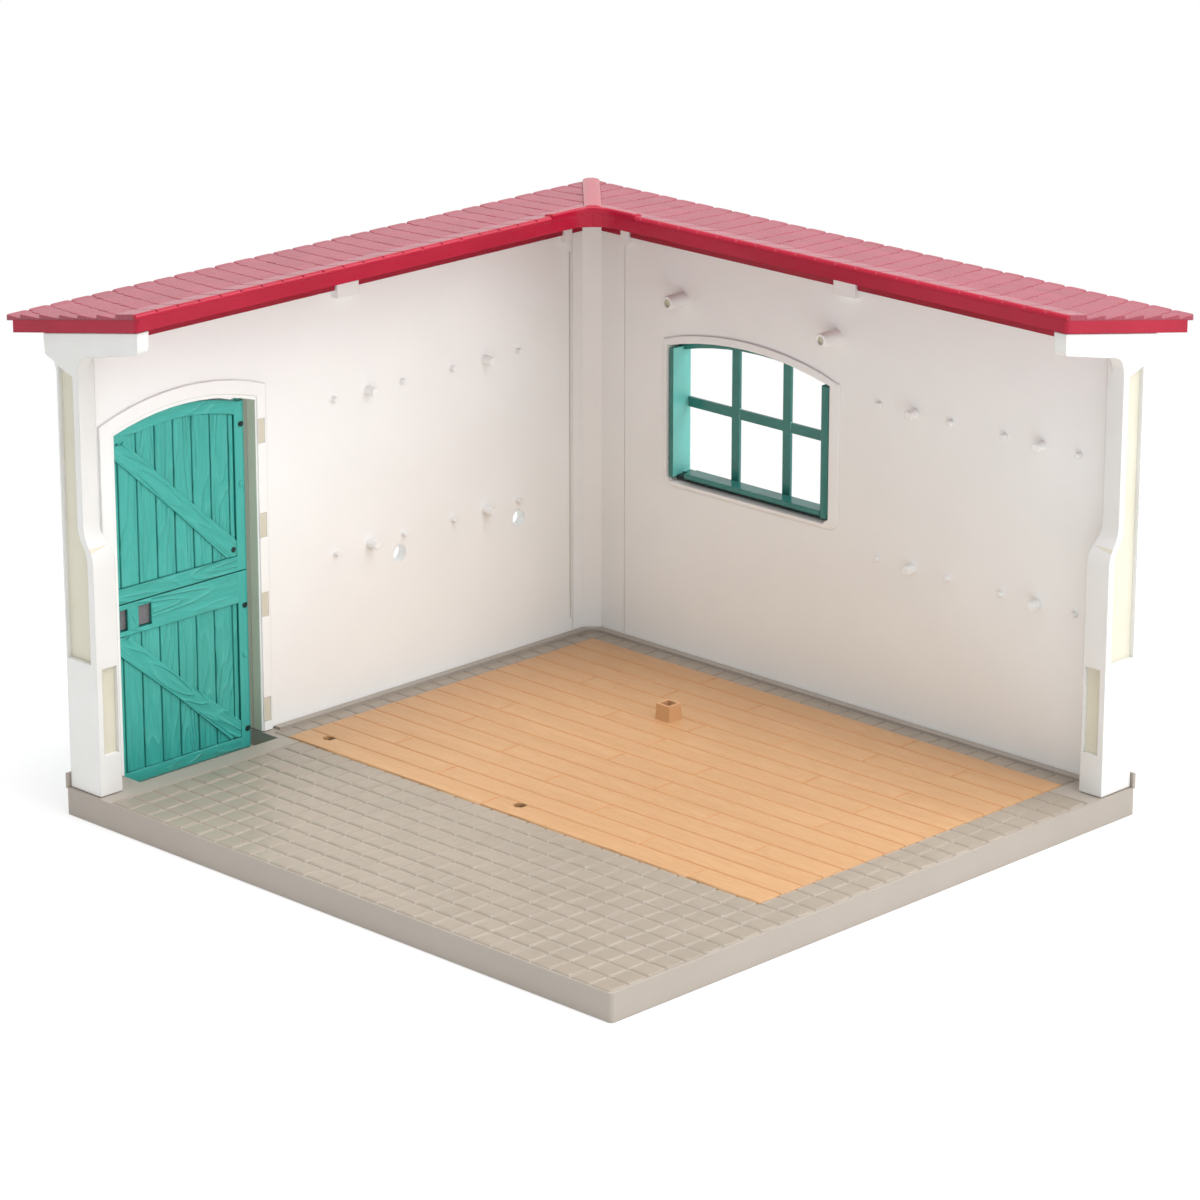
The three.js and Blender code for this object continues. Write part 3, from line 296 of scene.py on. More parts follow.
SOFT_EDGE = 0.6
STONE = ((144, 134, 121), (152, 141, 127))
# The shingles are a paler, greyer pink than the roof's plastic: painted sheen
SHINGLE_PAINTED_SHEEN = ((138, 50, 66), (150, 56, 74))
WOOD = ((184, 143, 101), (190, 150, 108), (176, 128, 84))
DOOR = ((60, 172, 163), (70, 181, 172))
# The door's boards: two tones and a paler teal for the grain lines, which is painted highlight
DOOR_BOARD_PAINTED_HIGHLIGHT = ((53, 165, 155), (61, 174, 165), (86, 194, 184))
MATERIALS = {
    "stone": pitted("stone", *STONE, 620.0, 0.1, (0.24, 0.38), 0.55),
    "wood": grained("wood_plastic", *WOOD, 0.4, "X", 9.0, 0.12, 0.2),
    "wall": plastic("wall", (241, 243, 242), (243, 245, 244), 0.42, edge=SOFT_EDGE),
    "trim": plastic("trim", (216, 216, 213), (222, 222, 220), 0.36, edge=SOFT_EDGE),
    "roof": plastic("roof", (152, 14, 42), (164, 18, 48), 0.24, specular=0.3),
    # Shingles: painted sheen, paler than the roof
    "shingle": pitted("shingle", *SHINGLE_PAINTED_SHEEN, 1300.0, 0.05, (0.2, 0.34), 0.5),
    "door": plastic("door", *DOOR, 0.38, grain=700.0, depth=0.05),
    "window": plastic("window", (46, 120, 112), (54, 128, 120), 0.14),
    "latch": plastic("latch", (92, 92, 96), (132, 132, 136), 0.5, patch=2500.0),
}
# Door grain along y and z, its lines tinted with painted highlight
DOOR_GRAIN = {
    axis: grained(f"door_grain_{axis}".lower(), *DOOR_BOARD_PAINTED_HIGHLIGHT, 0.28, axis, 9.0, 0.4, 0.26)
    for axis in "YZ"
}
# The base's own smooth skin, in a tone lighter than the cobbles: painted light on its sides
TRAY_WITH_PAINTED_LIGHT = plastic("tray", (159, 150, 140), (162, 153, 143), 0.4)
# Slightly darker stone on the deck in the joints between cobbles: painted shade
STONE_JOINT_SHADE = plastic("stone_joint_shade", (142, 132, 120), (148, 138, 126), 0.5)
# Darker, redder wood on the floor in the joints between planks: painted shade
WOOD_JOINT_SHADE = plastic("wood_joint_shade", (182, 130, 84), (188, 137, 92), 0.5)
# Darker teal for the leaves' faces between their boards: painted shade
DOOR_JOINT_SHADE = plastic("door_joint_shade", (24, 120, 112), (30, 130, 122), 0.5)
# Paler aqua for the sides of the window's plate and bars that face the right: painted light
PAINTED_LIGHT_AQUA = plastic("painted_light_window", (110, 200, 192), (118, 206, 198), 0.3)
# Near black teal for the core holes and the strip under the window sill: painted shade
PAINTED_SHADE = plastic("painted_shade", (8, 34, 34), (12, 42, 42), 0.6)
POST = plastic("post", (198, 150, 106), (204, 157, 113), 0.42, edge=SOFT_EDGE)
# Dark brown for the foot of the release holes: painted shade
HOLE_PAINTED_SHADE = plastic("hole_painted_shade", (52, 30, 16), (60, 36, 20), 0.6)
CREAM = plastic("cream", (206, 202, 183), (212, 208, 191), 0.42)


# Geometry helpers

WELD = 0.001
CAD_SHARP = 30
LAID_SHARP = 50


def plain(mesh):
    """Drops the normals that came with a CAD mesh."""
    if mesh.has_custom_normals:
        mesh.attributes.remove(mesh.attributes["custom_normal"])


def copied(node, name):
    """A new piece with the mesh and place of a CAD node."""
    source = frame["nodes"][node]
    piece = bpy.data.objects.new(name, source.data.copy())
    bpy.context.scene.collection.objects.link(piece)
    piece.matrix_world = source.matrix_world.copy()
    plain(piece.data)
    return piece


def crisp(piece):
    """Smooth shading that keeps the CAD node's sharp edges."""
    plain(piece.data)
    weld = piece.modifiers.new("weld", "WELD")
    weld.merge_threshold = WELD * MM
    split = piece.modifiers.new("split", "EDGE_SPLIT")
    split.split_angle = math.radians(CAD_SHARP)
    split.use_edge_sharp = False
    piece.data.shade_smooth()


def kept(node, slot, material=None):
    """Shows a CAD node itself, with its finish."""
    piece = frame["nodes"][node]
    crisp(piece)
    piece.data.materials.clear()
    piece.data.materials.append(material or MATERIALS[slot])


def painted(node, material, chosen):
    """Gives the faces of a CAD node whose centre in millimetres is chosen another finish."""
    piece = frame["nodes"][node]
    piece.data.materials.append(material)
    index = len(piece.data.materials) - 1
    for face in piece.data.polygons:
        if chosen(*from_corner(piece.matrix_world @ face.center)):
            face.material_index = index


tray_low, tray_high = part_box("base_tray")


def from_corner(point):
    """A point of the row frame, in millimetres from the base's corner."""
    return [(place - low) / MM for place, low in zip(point, (tray_low[0], tray_low[1], 0))]


WIDTH, DEPTH, _ = from_corner(tray_high)
FLOOR_X, FLOOR_Y, _ = zip(*[from_corner(end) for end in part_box("floor_panel")])


def placed(points):
    """Points in millimetres from the base's front left corner, as points of the row frame."""
    return [(tray_low[0] + x * MM, tray_low[1] + y * MM, z * MM) for x, y, z in points]


class Shapes:
    """Collects points and faces of many small solids for one mesh."""

    def __init__(self):
        self.points = []
        self.faces = []

    def stack(self, rings, closed_top=True, closed_foot=False):
        """Joins rings of equal length from the lowest up, and caps the ends asked for."""
        start = len(self.points)
        size = len(rings[0])
        for ring in rings:
            self.points.extend(ring)
        if closed_foot:
            self.faces.append(tuple(reversed(range(start, start + size))))
        for level in range(len(rings) - 1):
            for i in range(size):
                j = (i + 1) % size
                low = start + level * size
                self.faces.append((low + i, low + j, low + size + j, low + size + i))
        if closed_top:
            self.faces.append(tuple(start + (len(rings) - 1) * size + i for i in range(size)))

    def joined(self, name):
        """One object of it all."""
        mesh = bpy.data.meshes.new(name)
        mesh.from_pydata(placed(self.points), [], self.faces)
        mesh.validate()
        piece = bpy.data.objects.new(name, mesh)
        bpy.context.scene.collection.objects.link(piece)
        return piece

    def made(self, name, slot, body="structure", material=None, turn=None):
        """A piece of it all. Its own axes are turned where a material's grain asks for it."""
        piece = self.joined(name)
        if turn is not None:
            piece.data.transform(turn.inverted())
            piece.matrix_world = turn
        return dressed(piece, slot, body, material)


def dressed(piece, slot, body="structure", material=None):
    """Gives a new piece its finish and its body."""
    piece.data.shade_smooth()
    piece.data.set_sharp_from_angle(angle=math.radians(LAID_SHARP))
    even = piece.modifiers.new("even", "WEIGHTED_NORMAL")
    even.keep_sharp = True
    piece.data.materials.clear()
    piece.data.materials.append(material or MATERIALS[slot])
    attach(piece, body)
    return piece


def steps(low, high, pitch):
    count = round((high - low) / pitch)
    return [low + (high - low) * i / count for i in range(count + 1)]


def cells(columns, rows):
    """Every cell of a grid as (x0, y0, x1, y1)."""
    return [
        (x0, y0, x1, y1)
        for x0, x1 in zip(columns, columns[1:])
        for y0, y1 in zip(rows, rows[1:])
    ]


def rounded(x0, y0, x1, y1, radii, arc=5):
    """A rectangle's outline with a radius at each corner, or one for all, counterclockwise from
    the lower left."""
    if not isinstance(radii, (list, tuple)):
        radii = [radii] * 4
    corners = ((x0, y0, 1, 1, 180), (x1, y0, -1, 1, 270), (x1, y1, -1, -1, 0), (x0, y1, 1, -1, 90))
    points = []
    for (x, y, right, up, start), radius in zip(corners, radii):
        for i in range(arc):
            angle = math.radians(start + 90 * i / (arc - 1))
            points.append((
                x + right * radius + radius * math.cos(angle),
                y + up * radius + radius * math.sin(angle),
            ))
    return points


def circle(radius, a, b, sides=24):
    turns = [2 * math.pi * i / sides for i in range(sides)]
    return [(a + radius * math.cos(turn), b + radius * math.sin(turn)) for turn in turns]


def spot(axis, level, a, b):
    """A point at a level along an axis, over a place in the plane of the two other axes."""
    return {"x": (level, a, b), "y": (a, level, b), "z": (a, b, level)}[axis]


def swept(shapes, axis, outline, low, high, ease):
    """A bar along an axis with rounded ends. Its outline is counterclockwise in the plane of
    the two other axes, in the order x, y, z."""
    rings = []
    for level, inset in (
        (low, ease), (low + ease / 3, ease / 3), (low + ease, 0),
        (high - ease, 0), (high - ease / 3, ease / 3), (high, ease),
    ):
        ring = [spot(axis, level, a, b) for a, b in drawn_in(outline, inset)]
        rings.append(ring[::-1] if axis == "y" else ring)
    shapes.stack(rings, closed_foot=True)


# Cobbles: a low pillow on each cell of the grid in the deck

COBBLE_RINGS = ((0.1, -0.48), (0.3, -0.28), (0.62, -0.02), (1.05, 0.12), (2.4, 0.17))
COBBLE_WANDER = 0.14
COBBLE_RADII = (1.3, 2.1)
COBBLE_LEAST_RADIUS = 0.6
COBBLE_LEAN = 0.012
COBBLE_LIFTS = (-0.03, 0.04)
COBBLE_SEED = 11
FLOOR_GAP = 0.3
JOINT_BAND = (0.6, 0.05)


def cobble(shapes, cell, chance):
    x0, y0, x1, y1 = cell
    wander = [chance.uniform(-COBBLE_WANDER, COBBLE_WANDER) for _ in range(4)]
    radii = [chance.uniform(*COBBLE_RADII) for _ in range(4)]
    lean = [chance.uniform(-COBBLE_LEAN, COBBLE_LEAN) for _ in range(2)]
    lift = chance.uniform(*COBBLE_LIFTS)
    middle = ((x0 + x1) / 2, (y0 + y1) / 2)
    rings = []
    for inset, height in COBBLE_RINGS:
        shrunk = (x0 + inset, y0 + inset, x1 - inset, y1 - inset)
        edges = [place + move for place, move in zip(shrunk, wander)]
        outline = rounded(*edges, [max(radius - inset / 2, COBBLE_LEAST_RADIUS) for radius in radii])
        rings.append([
            (x, y, DECK + height + lift + lean[0] * (x - middle[0]) + lean[1] * (y - middle[1]))
            for x, y in outline
        ])
    shapes.stack(rings)


def in_joint(z, top):
    """Whether a height lies in the joints below a top."""
    return top - JOINT_BAND[0] < z < top - JOINT_BAND[1]


def cobbles():
    columns = steps(STEP_EDGE, WIDTH - SIDE_RIM, COBBLE_PITCH)
    strip = [x for x in columns if x > FLOOR_X[1] + COBBLE_PITCH / 2]
    strip.insert(0, FLOOR_X[1] + FLOOR_GAP)
    left = FLOOR_X[0] - FLOOR_GAP
    back = (FLOOR_Y[1] + FLOOR_GAP, DEPTH - CURB_EDGE)
    grid = cells(columns, steps(FRONT_RIM, FLOOR_Y[0], COBBLE_PITCH))
    grid += cells(strip, steps(FLOOR_Y[0], DEPTH - STRIP_INSET, COBBLE_PITCH))
    grid += cells(steps(*FLOOR_X, COBBLE_PITCH), back)
    grid += cells((CURB_EDGE, left), steps(*FLOOR_Y, COBBLE_PITCH))
    grid.append((CURB_EDGE, back[0], left, back[1]))
    chance = random.Random(COBBLE_SEED)
    shapes = Shapes()
    for cell in grid:
        cobble(shapes, cell, chance)
    shapes.made("cobbles", "stone")
    # The deck's faces in the joints between the cobbles get painted shade
    painted("base_tray", STONE_JOINT_SHADE, lambda x, y, z: in_joint(z, DECK))


# Planks: crowned boards with slightly uneven edges on each cell of the floor

PLANK_PROFILE = ((0.14, -1.1), (0.16, -0.45), (0.36, -0.2), (0.75, 0.02), (1.4, 0.07))
PLANK_END_SHARE = 0.7
PLANK_LIFTS = (-0.02, 0.05)
PLANK_TILT = 0.008
PLANK_STEP = 5
PLANK_SWAYS = ((0.09, 0.11), (0.05, 0.29))
PLANK_SEED = 5
FLOOR_LAP = 0.45
CUT_REACH = 3
HOLE_TURN = 30
SOCKET_TURN = 45
POST_FOOT = 0.3
DEPTH_SHARE = 0.8
DEPTH_LEVELS = (-2, -1.2)
DEPTH_EASE = 0.05


def plank(shapes, x0, x1, y0, y1, chance):
    lift = chance.uniform(*PLANK_LIFTS)
    tilt = chance.uniform(-PLANK_TILT, PLANK_TILT)
    count = max(2, round((x1 - x0) / PLANK_STEP))
    wave = [chance.uniform(0, 2 * math.pi) for _ in range(4)]

    def sway(x, side):
        """How far the edge of a side wanders at a place along the board."""
        return sum(
            reach * math.sin(x * pace + wave[side + 2 * turn])
            for turn, (reach, pace) in enumerate(PLANK_SWAYS)
        )

    rings = []
    for inset, height in PLANK_PROFILE:
        short = inset * PLANK_END_SHARE
        xs = [x0 + short + (x1 - x0 - 2 * short) * i / count for i in range(count + 1)]
        low = [(x, y0 + inset + sway(x, 0)) for x in xs]
        high = [(x, y1 - inset + sway(x, 1)) for x in reversed(xs)]
        middle = (y0 + y1) / 2
        rings.append([(x, y, FLOOR_TOP + height + lift + tilt * (y - middle)) for x, y in low + high])
    start = len(shapes.points)
    shapes.stack(rings, closed_top=False, closed_foot=True)
    size = len(rings[0])
    top = start + (len(rings) - 1) * size
    for i in range(count):
        shapes.faces.append((top + i, top + i + 1, top + size - 2 - i, top + size - 1 - i))


def planks():
    rows = steps(*FLOOR_Y, (FLOOR_Y[1] - FLOOR_Y[0]) / PLANK_ROWS)
    rows[0] -= FLOOR_LAP
    rows[-1] += FLOOR_LAP
    cell = (FLOOR_X[1] - FLOOR_X[0]) / PLANK_CELLS
    chance = random.Random(PLANK_SEED)
    shapes = Shapes()
    for row, first in enumerate(PLANK_FIRST_ENDS):
        ends = [FLOOR_X[0] - FLOOR_LAP]
        ends += [FLOOR_X[0] + k * cell for k in range(first, PLANK_CELLS, PLANK_STRIDE)]
        ends.append(FLOOR_X[1] + FLOOR_LAP)
        for x0, x1 in zip(ends, ends[1:]):
            plank(shapes, x0, x1, rows[row], rows[row + 1], chance)
    piece = shapes.made("planks", "wood")
    cuts = [prism(6, RELEASE_HOLE_RADIUS, x, y, HOLE_TURN) for x, y in RELEASE_HOLES]
    cuts.append(prism(4, SOCKET_CUT / math.sqrt(2), *SOCKET, SOCKET_TURN))
    cut_away(piece, cuts)
    # The floor's faces in the joints between the planks get painted shade
    painted("floor_panel", WOOD_JOINT_SHADE, lambda x, y, z: in_joint(z, FLOOR_TOP))
    painted("floor_panel", POST, lambda x, y, z: z > FLOOR_TOP + POST_FOOT)
    painted_hole_shades()


def painted_hole_shades():
    """A dark brown disc at the foot of each release hole: painted shade for its depth."""
    shapes = Shapes()
    levels = [FLOOR_TOP + level for level in DEPTH_LEVELS]
    for x, y in RELEASE_HOLES:
        outline = circle(RELEASE_HOLE_RADIUS * DEPTH_SHARE, x, y, 6)
        swept(shapes, "z", outline, *levels, DEPTH_EASE)
    shapes.made("release_hole_painted_shade", "wood", material=HOLE_PAINTED_SHADE)


def prism(sides, radius, x, y, turn):
    """An upright prism through the floor, to cut with."""
    shapes = Shapes()
    ring = [math.radians(turn + 360 * i / sides) for i in range(sides)]
    levels = [
        [(x + radius * math.cos(angle), y + radius * math.sin(angle), FLOOR_TOP + z) for angle in ring]
        for z in (-CUT_REACH, CUT_REACH)
    ]
    shapes.stack(levels, closed_foot=True)
    return shapes.joined("cut")


def cut_away(piece, cutters):
    """Subtracts the cutters from a piece and deletes them."""
    for cutter in cutters:
        cut = piece.modifiers.new("cut", "BOOLEAN")
        cut.operation = "DIFFERENCE"
        cut.solver = "EXACT"
        cut.use_self = True
        cut.object = cutter
    bpy.context.view_layer.update()
    seen = piece.evaluated_get(bpy.context.evaluated_depsgraph_get())
    mesh = bpy.data.meshes.new_from_object(seen)
    piece.modifiers.clear()
    piece.data = mesh
    for cutter in cutters:
        bpy.data.objects.remove(cutter)


# Roof: the CAD wings cut off under their shingles, and single shingles laid on them

def deck_height(u):
    return ROOF_DECK - ROOF_SLOPE * (ROOF_INSET - u)


def wing_point(side, u, v, z):
    """A point of a wing at u in from the outer base edge and v from the wing's free end."""
    return (u, v, z) if side == "door" else (WIDTH - v, DEPTH - u, z)


PLANE_CLOSE = 1e-7


def bare_wing(side):
    """The CAD wing below its shingles, closed with a flat deck."""
    node = f"roof_{side}_wing"
    piece = copied(node, f"{node}_deck")
    to_local = piece.matrix_world.inverted()
    on_deck = [
        Vector(placed([wing_point(side, u, v, deck_height(u) - ROOF_CUT)])[0])
        for u, v in ((0, 0), (ROOF_INSET, 0), (0, ROOF_INSET))
    ]
    a, b, c = [to_local @ point for point in on_deck]
    normal = (b - a).cross(c - a).normalized()
    if (to_local.to_3x3() @ Vector((0, 0, 1))).dot(normal) < 0:
        normal = -normal
    work = bmesh.new()
    work.from_mesh(piece.data)
    bmesh.ops.remove_doubles(work, verts=work.verts, dist=WELD * MM)
    parts = work.verts[:] + work.edges[:] + work.faces[:]
    cut = bmesh.ops.bisect_plane(
        work, geom=parts, dist=PLANE_CLOSE, plane_co=a, plane_no=normal, clear_outer=True,
    )
    rim = [part for part in cut["geom_cut"] if isinstance(part, bmesh.types.BMEdge)]
    bmesh.ops.contextual_create(work, geom=rim)
    close_mitre(work, piece.matrix_world)
    work.to_mesh(piece.data)
    work.free()
    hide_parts(node)
    dressed(piece, "roof")


MITRE_GAP = 0.5
MITRE_CLEARANCE = 0.01


def close_mitre(work, to_row):
    """Moves the end face at the hip to the hip's plane, so that no light comes through."""
    for vertex in work.verts:
        point = to_row @ vertex.co
        x, y, _ = from_corner(point)
        apart = x - (DEPTH - y)
        if abs(apart) < MITRE_GAP:
            move = (math.copysign(MITRE_CLEARANCE, apart) - apart) / 2 * MM
            vertex.co = to_row.inverted() @ (point + Vector((move, move, 0)))


def clipped(outline, keep):
    """The part of a convex outline where keep(u, v) is not negative."""
    result = []
    for (u0, v0), (u1, v1) in zip(outline, outline[1:] + outline[:1]):
        k0, k1 = keep(u0, v0), keep(u1, v1)
        if k0 >= 0:
            result.append((u0, v0))
        if k0 * k1 < 0:
            t = k0 / (k0 - k1)
            result.append((u0 + t * (u1 - u0), v0 + t * (v1 - v0)))
    return result


# The first ring stands on the deck, the others hang from the shingle's own surface.
SHINGLE_RINGS = ((0, 0), (0, -0.28), (0.1, -0.1), (0.32, 0))
SHINGLE_SINK = 0.2
SHINGLE_STAGGER = (-0.15, 0.25)
SHINGLE_TIP_ROOM = 0.1
SHINGLE_GAP = 0.16
SHINGLE_RADII = (1.2, 2.2)
SHINGLE_SQUARE = 0.02
SHINGLE_LIFTS = (-0.05, 0.08)
SHINGLE_TWIST = 0.01
SHINGLE_UNDER = 1.2
SHINGLE_LEAST_SPAN = 0.8


def shingle(shapes, side, length, course, v0, v1, chance):
    upper, butt, rise_upper, rise_butt = course
    butt = max(butt - chance.uniform(*SHINGLE_STAGGER), SHINGLE_TIP_ROOM - ROOF_TIP)
    radii = [chance.uniform(*SHINGLE_RADII) for _ in range(2)]
    lift = chance.uniform(*SHINGLE_LIFTS)
    twist = chance.uniform(-SHINGLE_TWIST, SHINGLE_TWIST)
    under = upper - NOSE_RADIUS if upper == ROOF_INSET else upper + SHINGLE_UNDER
    corners = (radii[0], SHINGLE_SQUARE, SHINGLE_SQUARE, radii[1])
    outline = rounded(butt, v0 + SHINGLE_GAP, under, v1 - SHINGLE_GAP, corners)
    reach = length - CAP_CLEARANCE * math.sqrt(2)
    outline = clipped(outline, lambda u, v: reach - u - v)
    if len(outline) < 3:
        return
    middle = [sum(places) / len(places) for places in zip(*outline)]
    spans = [max(places) - min(places) for places in zip(*outline)]
    if min(spans) < SHINGLE_LEAST_SPAN:
        return

    def surface(u, v):
        share = (upper - u) / (upper - butt)
        rise = rise_upper + (rise_butt - rise_upper) * share
        return deck_height(u) + rise + (lift + twist * (v - middle[1])) * max(share, 0)

    rings = []
    for inset, drop in SHINGLE_RINGS:
        ring = []
        for point in outline:
            u, v = [
                centre + (place - centre) * (1 - 2 * inset / span)
                for place, centre, span in zip(point, middle, spans)
            ]
            z = surface(u, v) + drop if rings else deck_height(u) - ROOF_CUT - SHINGLE_SINK
            ring.append(wing_point(side, u, v, z))
        rings.append(ring if side == "door" else ring[::-1])
    shapes.stack(rings)


def shingles(side, length):
    courses = []
    upper, rise = ROOF_INSET, SHINGLE_BUTT
    for row in range(SHINGLE_ROWS + 1):
        butt = ROOF_INSET - SHINGLE_FIRST - row * SHINGLE_PITCH if row < SHINGLE_ROWS else -ROOF_TIP
        courses.append((upper, butt, rise, SHINGLE_BUTT))
        upper, rise = butt, SHINGLE_LAP
    chance = random.Random(side)
    shapes = Shapes()
    for row, course in enumerate(courses):
        start = ROOF_END
        width = SHINGLE_WIDTH * (1 if row % 2 == 0 else 1 / 2)
        while start < length - course[1]:
            shingle(shapes, side, length, course, start, start + width, chance)
            start += width
            width = SHINGLE_WIDTH
    # The shingles' paler, greyer pink is painted sheen
    shapes.made(f"{side}_shingles", "roof", material=MATERIALS["shingle"])
    edge = Shapes()
    nose(edge, side, length)
    corner_course(edge, side, length)
    edge.made(f"{side}_roof_edge", "roof")


NOSE_ARC = (0, 22.5, 45, 67.5, 90)
NOSE_FOOT = -0.38
NOSE_LAP = 0.3
NOTCH_TURN = 45
NOTCH_HALF = 0.5
NOTCH_DEPTH = 0.7
CORNER_REACH = 8.7
CORNER_WIDTH = 4.5
CORNER_RINGS = ((-0.04, NOSE_FOOT), (-0.04, 1.2), (0.15, 1.9), (0.5, 2.2), (0.9, 2.3))
CORNER_ARC = (43, 36, 30, 24, 18, 12, 6, 0)


def nose_profile(depth):
    """The rounded inner edge of the roof as (u, height over the deck), counterclockwise."""
    middle = ROOF_INSET - NOSE_RADIUS
    points = [(middle - NOSE_LAP, NOSE_FOOT), (ROOF_INSET, NOSE_FOOT)]
    for angle in NOSE_ARC:
        radius = NOSE_RADIUS - depth * min(1, angle / NOTCH_TURN)
        turn = math.radians(angle)
        points.append((middle + radius * math.cos(turn), radius * math.sin(turn)))
    points.append((middle - NOSE_LAP, NOSE_RADIUS - depth))
    return points


def nose(shapes, side, length):
    """The rounded inner edge, notched at each joint of the uppermost course."""
    end = length - ROOF_INSET - CORNER_RADIUS - CORNER_REACH
    stations = [(ROOF_END, 0)]
    joint = ROOF_END + SHINGLE_WIDTH
    while joint < end - 1:
        stations += [(joint - NOTCH_HALF, 0), (joint, NOTCH_DEPTH), (joint + NOTCH_HALF, 0)]
        joint += SHINGLE_WIDTH
    stations.append((end, 0))
    rings = []
    for v, depth in stations:
        ring = [wing_point(side, u, v, deck_height(u) + height) for u, height in nose_profile(depth)]
        rings.append(ring[::-1] if side == "door" else ring)
    shapes.stack(rings, closed_foot=True)


def corner_course(shapes, side, length):
    """The raised course that follows the rounded inner corner, from the cap to its stepped end."""
    centre = ROOF_INSET + CORNER_RADIUS

    def arc_point(radius, degrees):
        turn = math.radians(degrees)
        return (centre - radius * math.cos(turn), centre - radius * math.sin(turn))

    rings = []
    for inset, height in CORNER_RINGS:
        inner = CORNER_RADIUS + inset
        outer = CORNER_RADIUS + CORNER_WIDTH - inset
        reach = centre + CORNER_REACH - inset
        plan = [arc_point(inner, angle) for angle in CORNER_ARC]
        plan += [(ROOF_INSET - inset, reach), (ROOF_INSET - CORNER_WIDTH + inset, reach)]
        plan += [arc_point(outer, angle) for angle in reversed(CORNER_ARC)]
        ring = [wing_point(side, u, length - c, deck_height(u) + height) for u, c in plan]
        rings.append(ring if side == "door" else ring[::-1])
    shapes.stack(rings, closed_foot=True)


CAP_HALF = 3.3
CAP_TOP = 2.6
CAP_SIDE = 1.6
CAP_FOOT = -1.0
CAP_ENDS = (-22.4, 49.6)
CAP_ARC = tuple(range(0, 181, 20))

# Stations along the cap, in from each end, and how far the cap is drawn in there
CAP_OUTER_STATIONS = ((0, 0.9), (0.3, 0.3), (0.9, 0))
CAP_INNER_STATIONS = ((1.1, 0), (0.3, 0.45), (0, 1.1))


def cap_ring(place, inset):
    """The cap's outline across the hip, at a place along it."""
    half = CAP_HALF - inset
    side = CAP_SIDE - inset / 2
    profile = [(half, CAP_FOOT)]
    for angle in CAP_ARC:
        turn = math.radians(angle)
        profile.append((half * math.cos(turn), side + (CAP_TOP - CAP_SIDE - inset / 2) * math.sin(turn)))
    profile.append((-half, CAP_FOOT))
    diagonal = math.sqrt(1 / 2)
    return [
        (place + across * diagonal, DEPTH - place + across * diagonal, deck_height(place) + height)
        for across, height in profile
    ]


def hip_cap():
    """The round-topped cap over the hip, with a rounded nose."""
    shapes = Shapes()
    outer, inner = CAP_ENDS
    stations = [(outer + reach, inset) for reach, inset in CAP_OUTER_STATIONS]
    stations += [(inner - reach, inset) for reach, inset in CAP_INNER_STATIONS]
    shapes.stack([cap_ring(place, inset) for place, inset in stations], closed_foot=True)
    cap = shapes.made("rounded_hip_cap", "roof")
    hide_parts("hip_cap")


def roof():
    for side, length in (("door", DEPTH), ("window", WIDTH)):
        bare_wing(side)
        shingles(side, length)
    hip_cap()


# Door leaves: boards with grain laid on both faces of the CAD leaves

LEAF_FREE = 22
LEAF_STILE = 80.5
LEAF_MIDDLE = 0.5
LEAF_JOINT_REACH = 1.7
LEAF_FACES = {"inner": (2.5, 1), "outer": (-1.5, -1)}
LEAF_BOTTOM = 4.3
LEAF_SPLIT = 71.9
UPPER_BOTTOM = 72.4
EDGE_STRIP = 1.5
BOARD_FIRST = 26.6
BOARD_PITCH = 8.57
BOARD_COUNT = 7
ARCH_MIDDLE = 52.15
ARCH_CENTRE = 35.47
ARCH_RADIUS = 104.53
ARCH_RAIL = 4.9
UPPER_RAIL = 5.5
LOWER_TOP_RAIL = 11.7
LOWER_RAIL = 4.4
BRACE_WIDTH = 6.4
BOARD_RECESS = 0.7
BOARD_RINGS = ((0, -0.5), (0, -0.25), (0.08, -0.08), (0.28, 0))
LEAST_LEAN = 0.4
BAND_RADIUS = 1.4
FRAME_STEPS = 12
FRAME_ROOM = 0.2
BOARD_ROOM = 0.1
JOINT_HALF = 0.3
LEAST_BOARD = 2
RAIL_ROOM = 0.15
RAIL_RADIUS = 0.3
RAIL_END_RADIUS = 0.8
POST_RADIUS = 0.2
PLANK_RISE = 0.1
RAIL_RISE = 0.12
BRACE_RISE = 0.16

# Windows for the bolt and its knob in the upper rail of the lower leaf, along y and in height
RAIL_WINDOWS = {
    "inner": (((24.9, 28.7), (33.5, 39.7)), (61.9, 70.1)),
    "outer": (((30.3, 39.3),), (63.5, 68.5)),
}

# Middle line of each brace, and the marks in the hinge stile of each leaf, as (y, z)
UPPER_BRACE = ((20.2, 134.1), (83.0, 77.2))
LOWER_BRACE = ((20.4, 61.0), (83.4, 8.4))
CORE_HOLES = {
    "upper_leaf": ((83.4, 127.0), (78.6, 80.9)),
    "lower_leaf": ((83.4, 58.8), (83.4, 11.5)),
}
KNOTS = {"upper_leaf": (83.2, 104.8), "lower_leaf": (83.2, 40.2)}
MARK_FOOT = 2.3
CORE_HOLE = (1.05, 2.86, 0.08)
KNOT = (1.2, 3.0, 0.3)


def arch_height(y, inset):
    return ARCH_CENTRE + math.sqrt((ARCH_RADIUS - inset) ** 2 - (y - ARCH_MIDDLE) ** 2)


def drawn_in(outline, inset):
    """An outline, counterclockwise, with every edge moved inward."""
    result = []
    count = len(outline)
    for i, point in enumerate(outline):
        here = Vector(point)
        before = (here - Vector(outline[i - 1])).normalized()
        after = (Vector(outline[(i + 1) % count]) - here).normalized()
        inward = Vector((-before.y - after.y, before.x + after.x)).normalized()
        lean = max(inward.dot(Vector((-before.y, before.x))), LEAST_LEAN)
        result.append(tuple(here + inward * (inset / lean)))
    return result


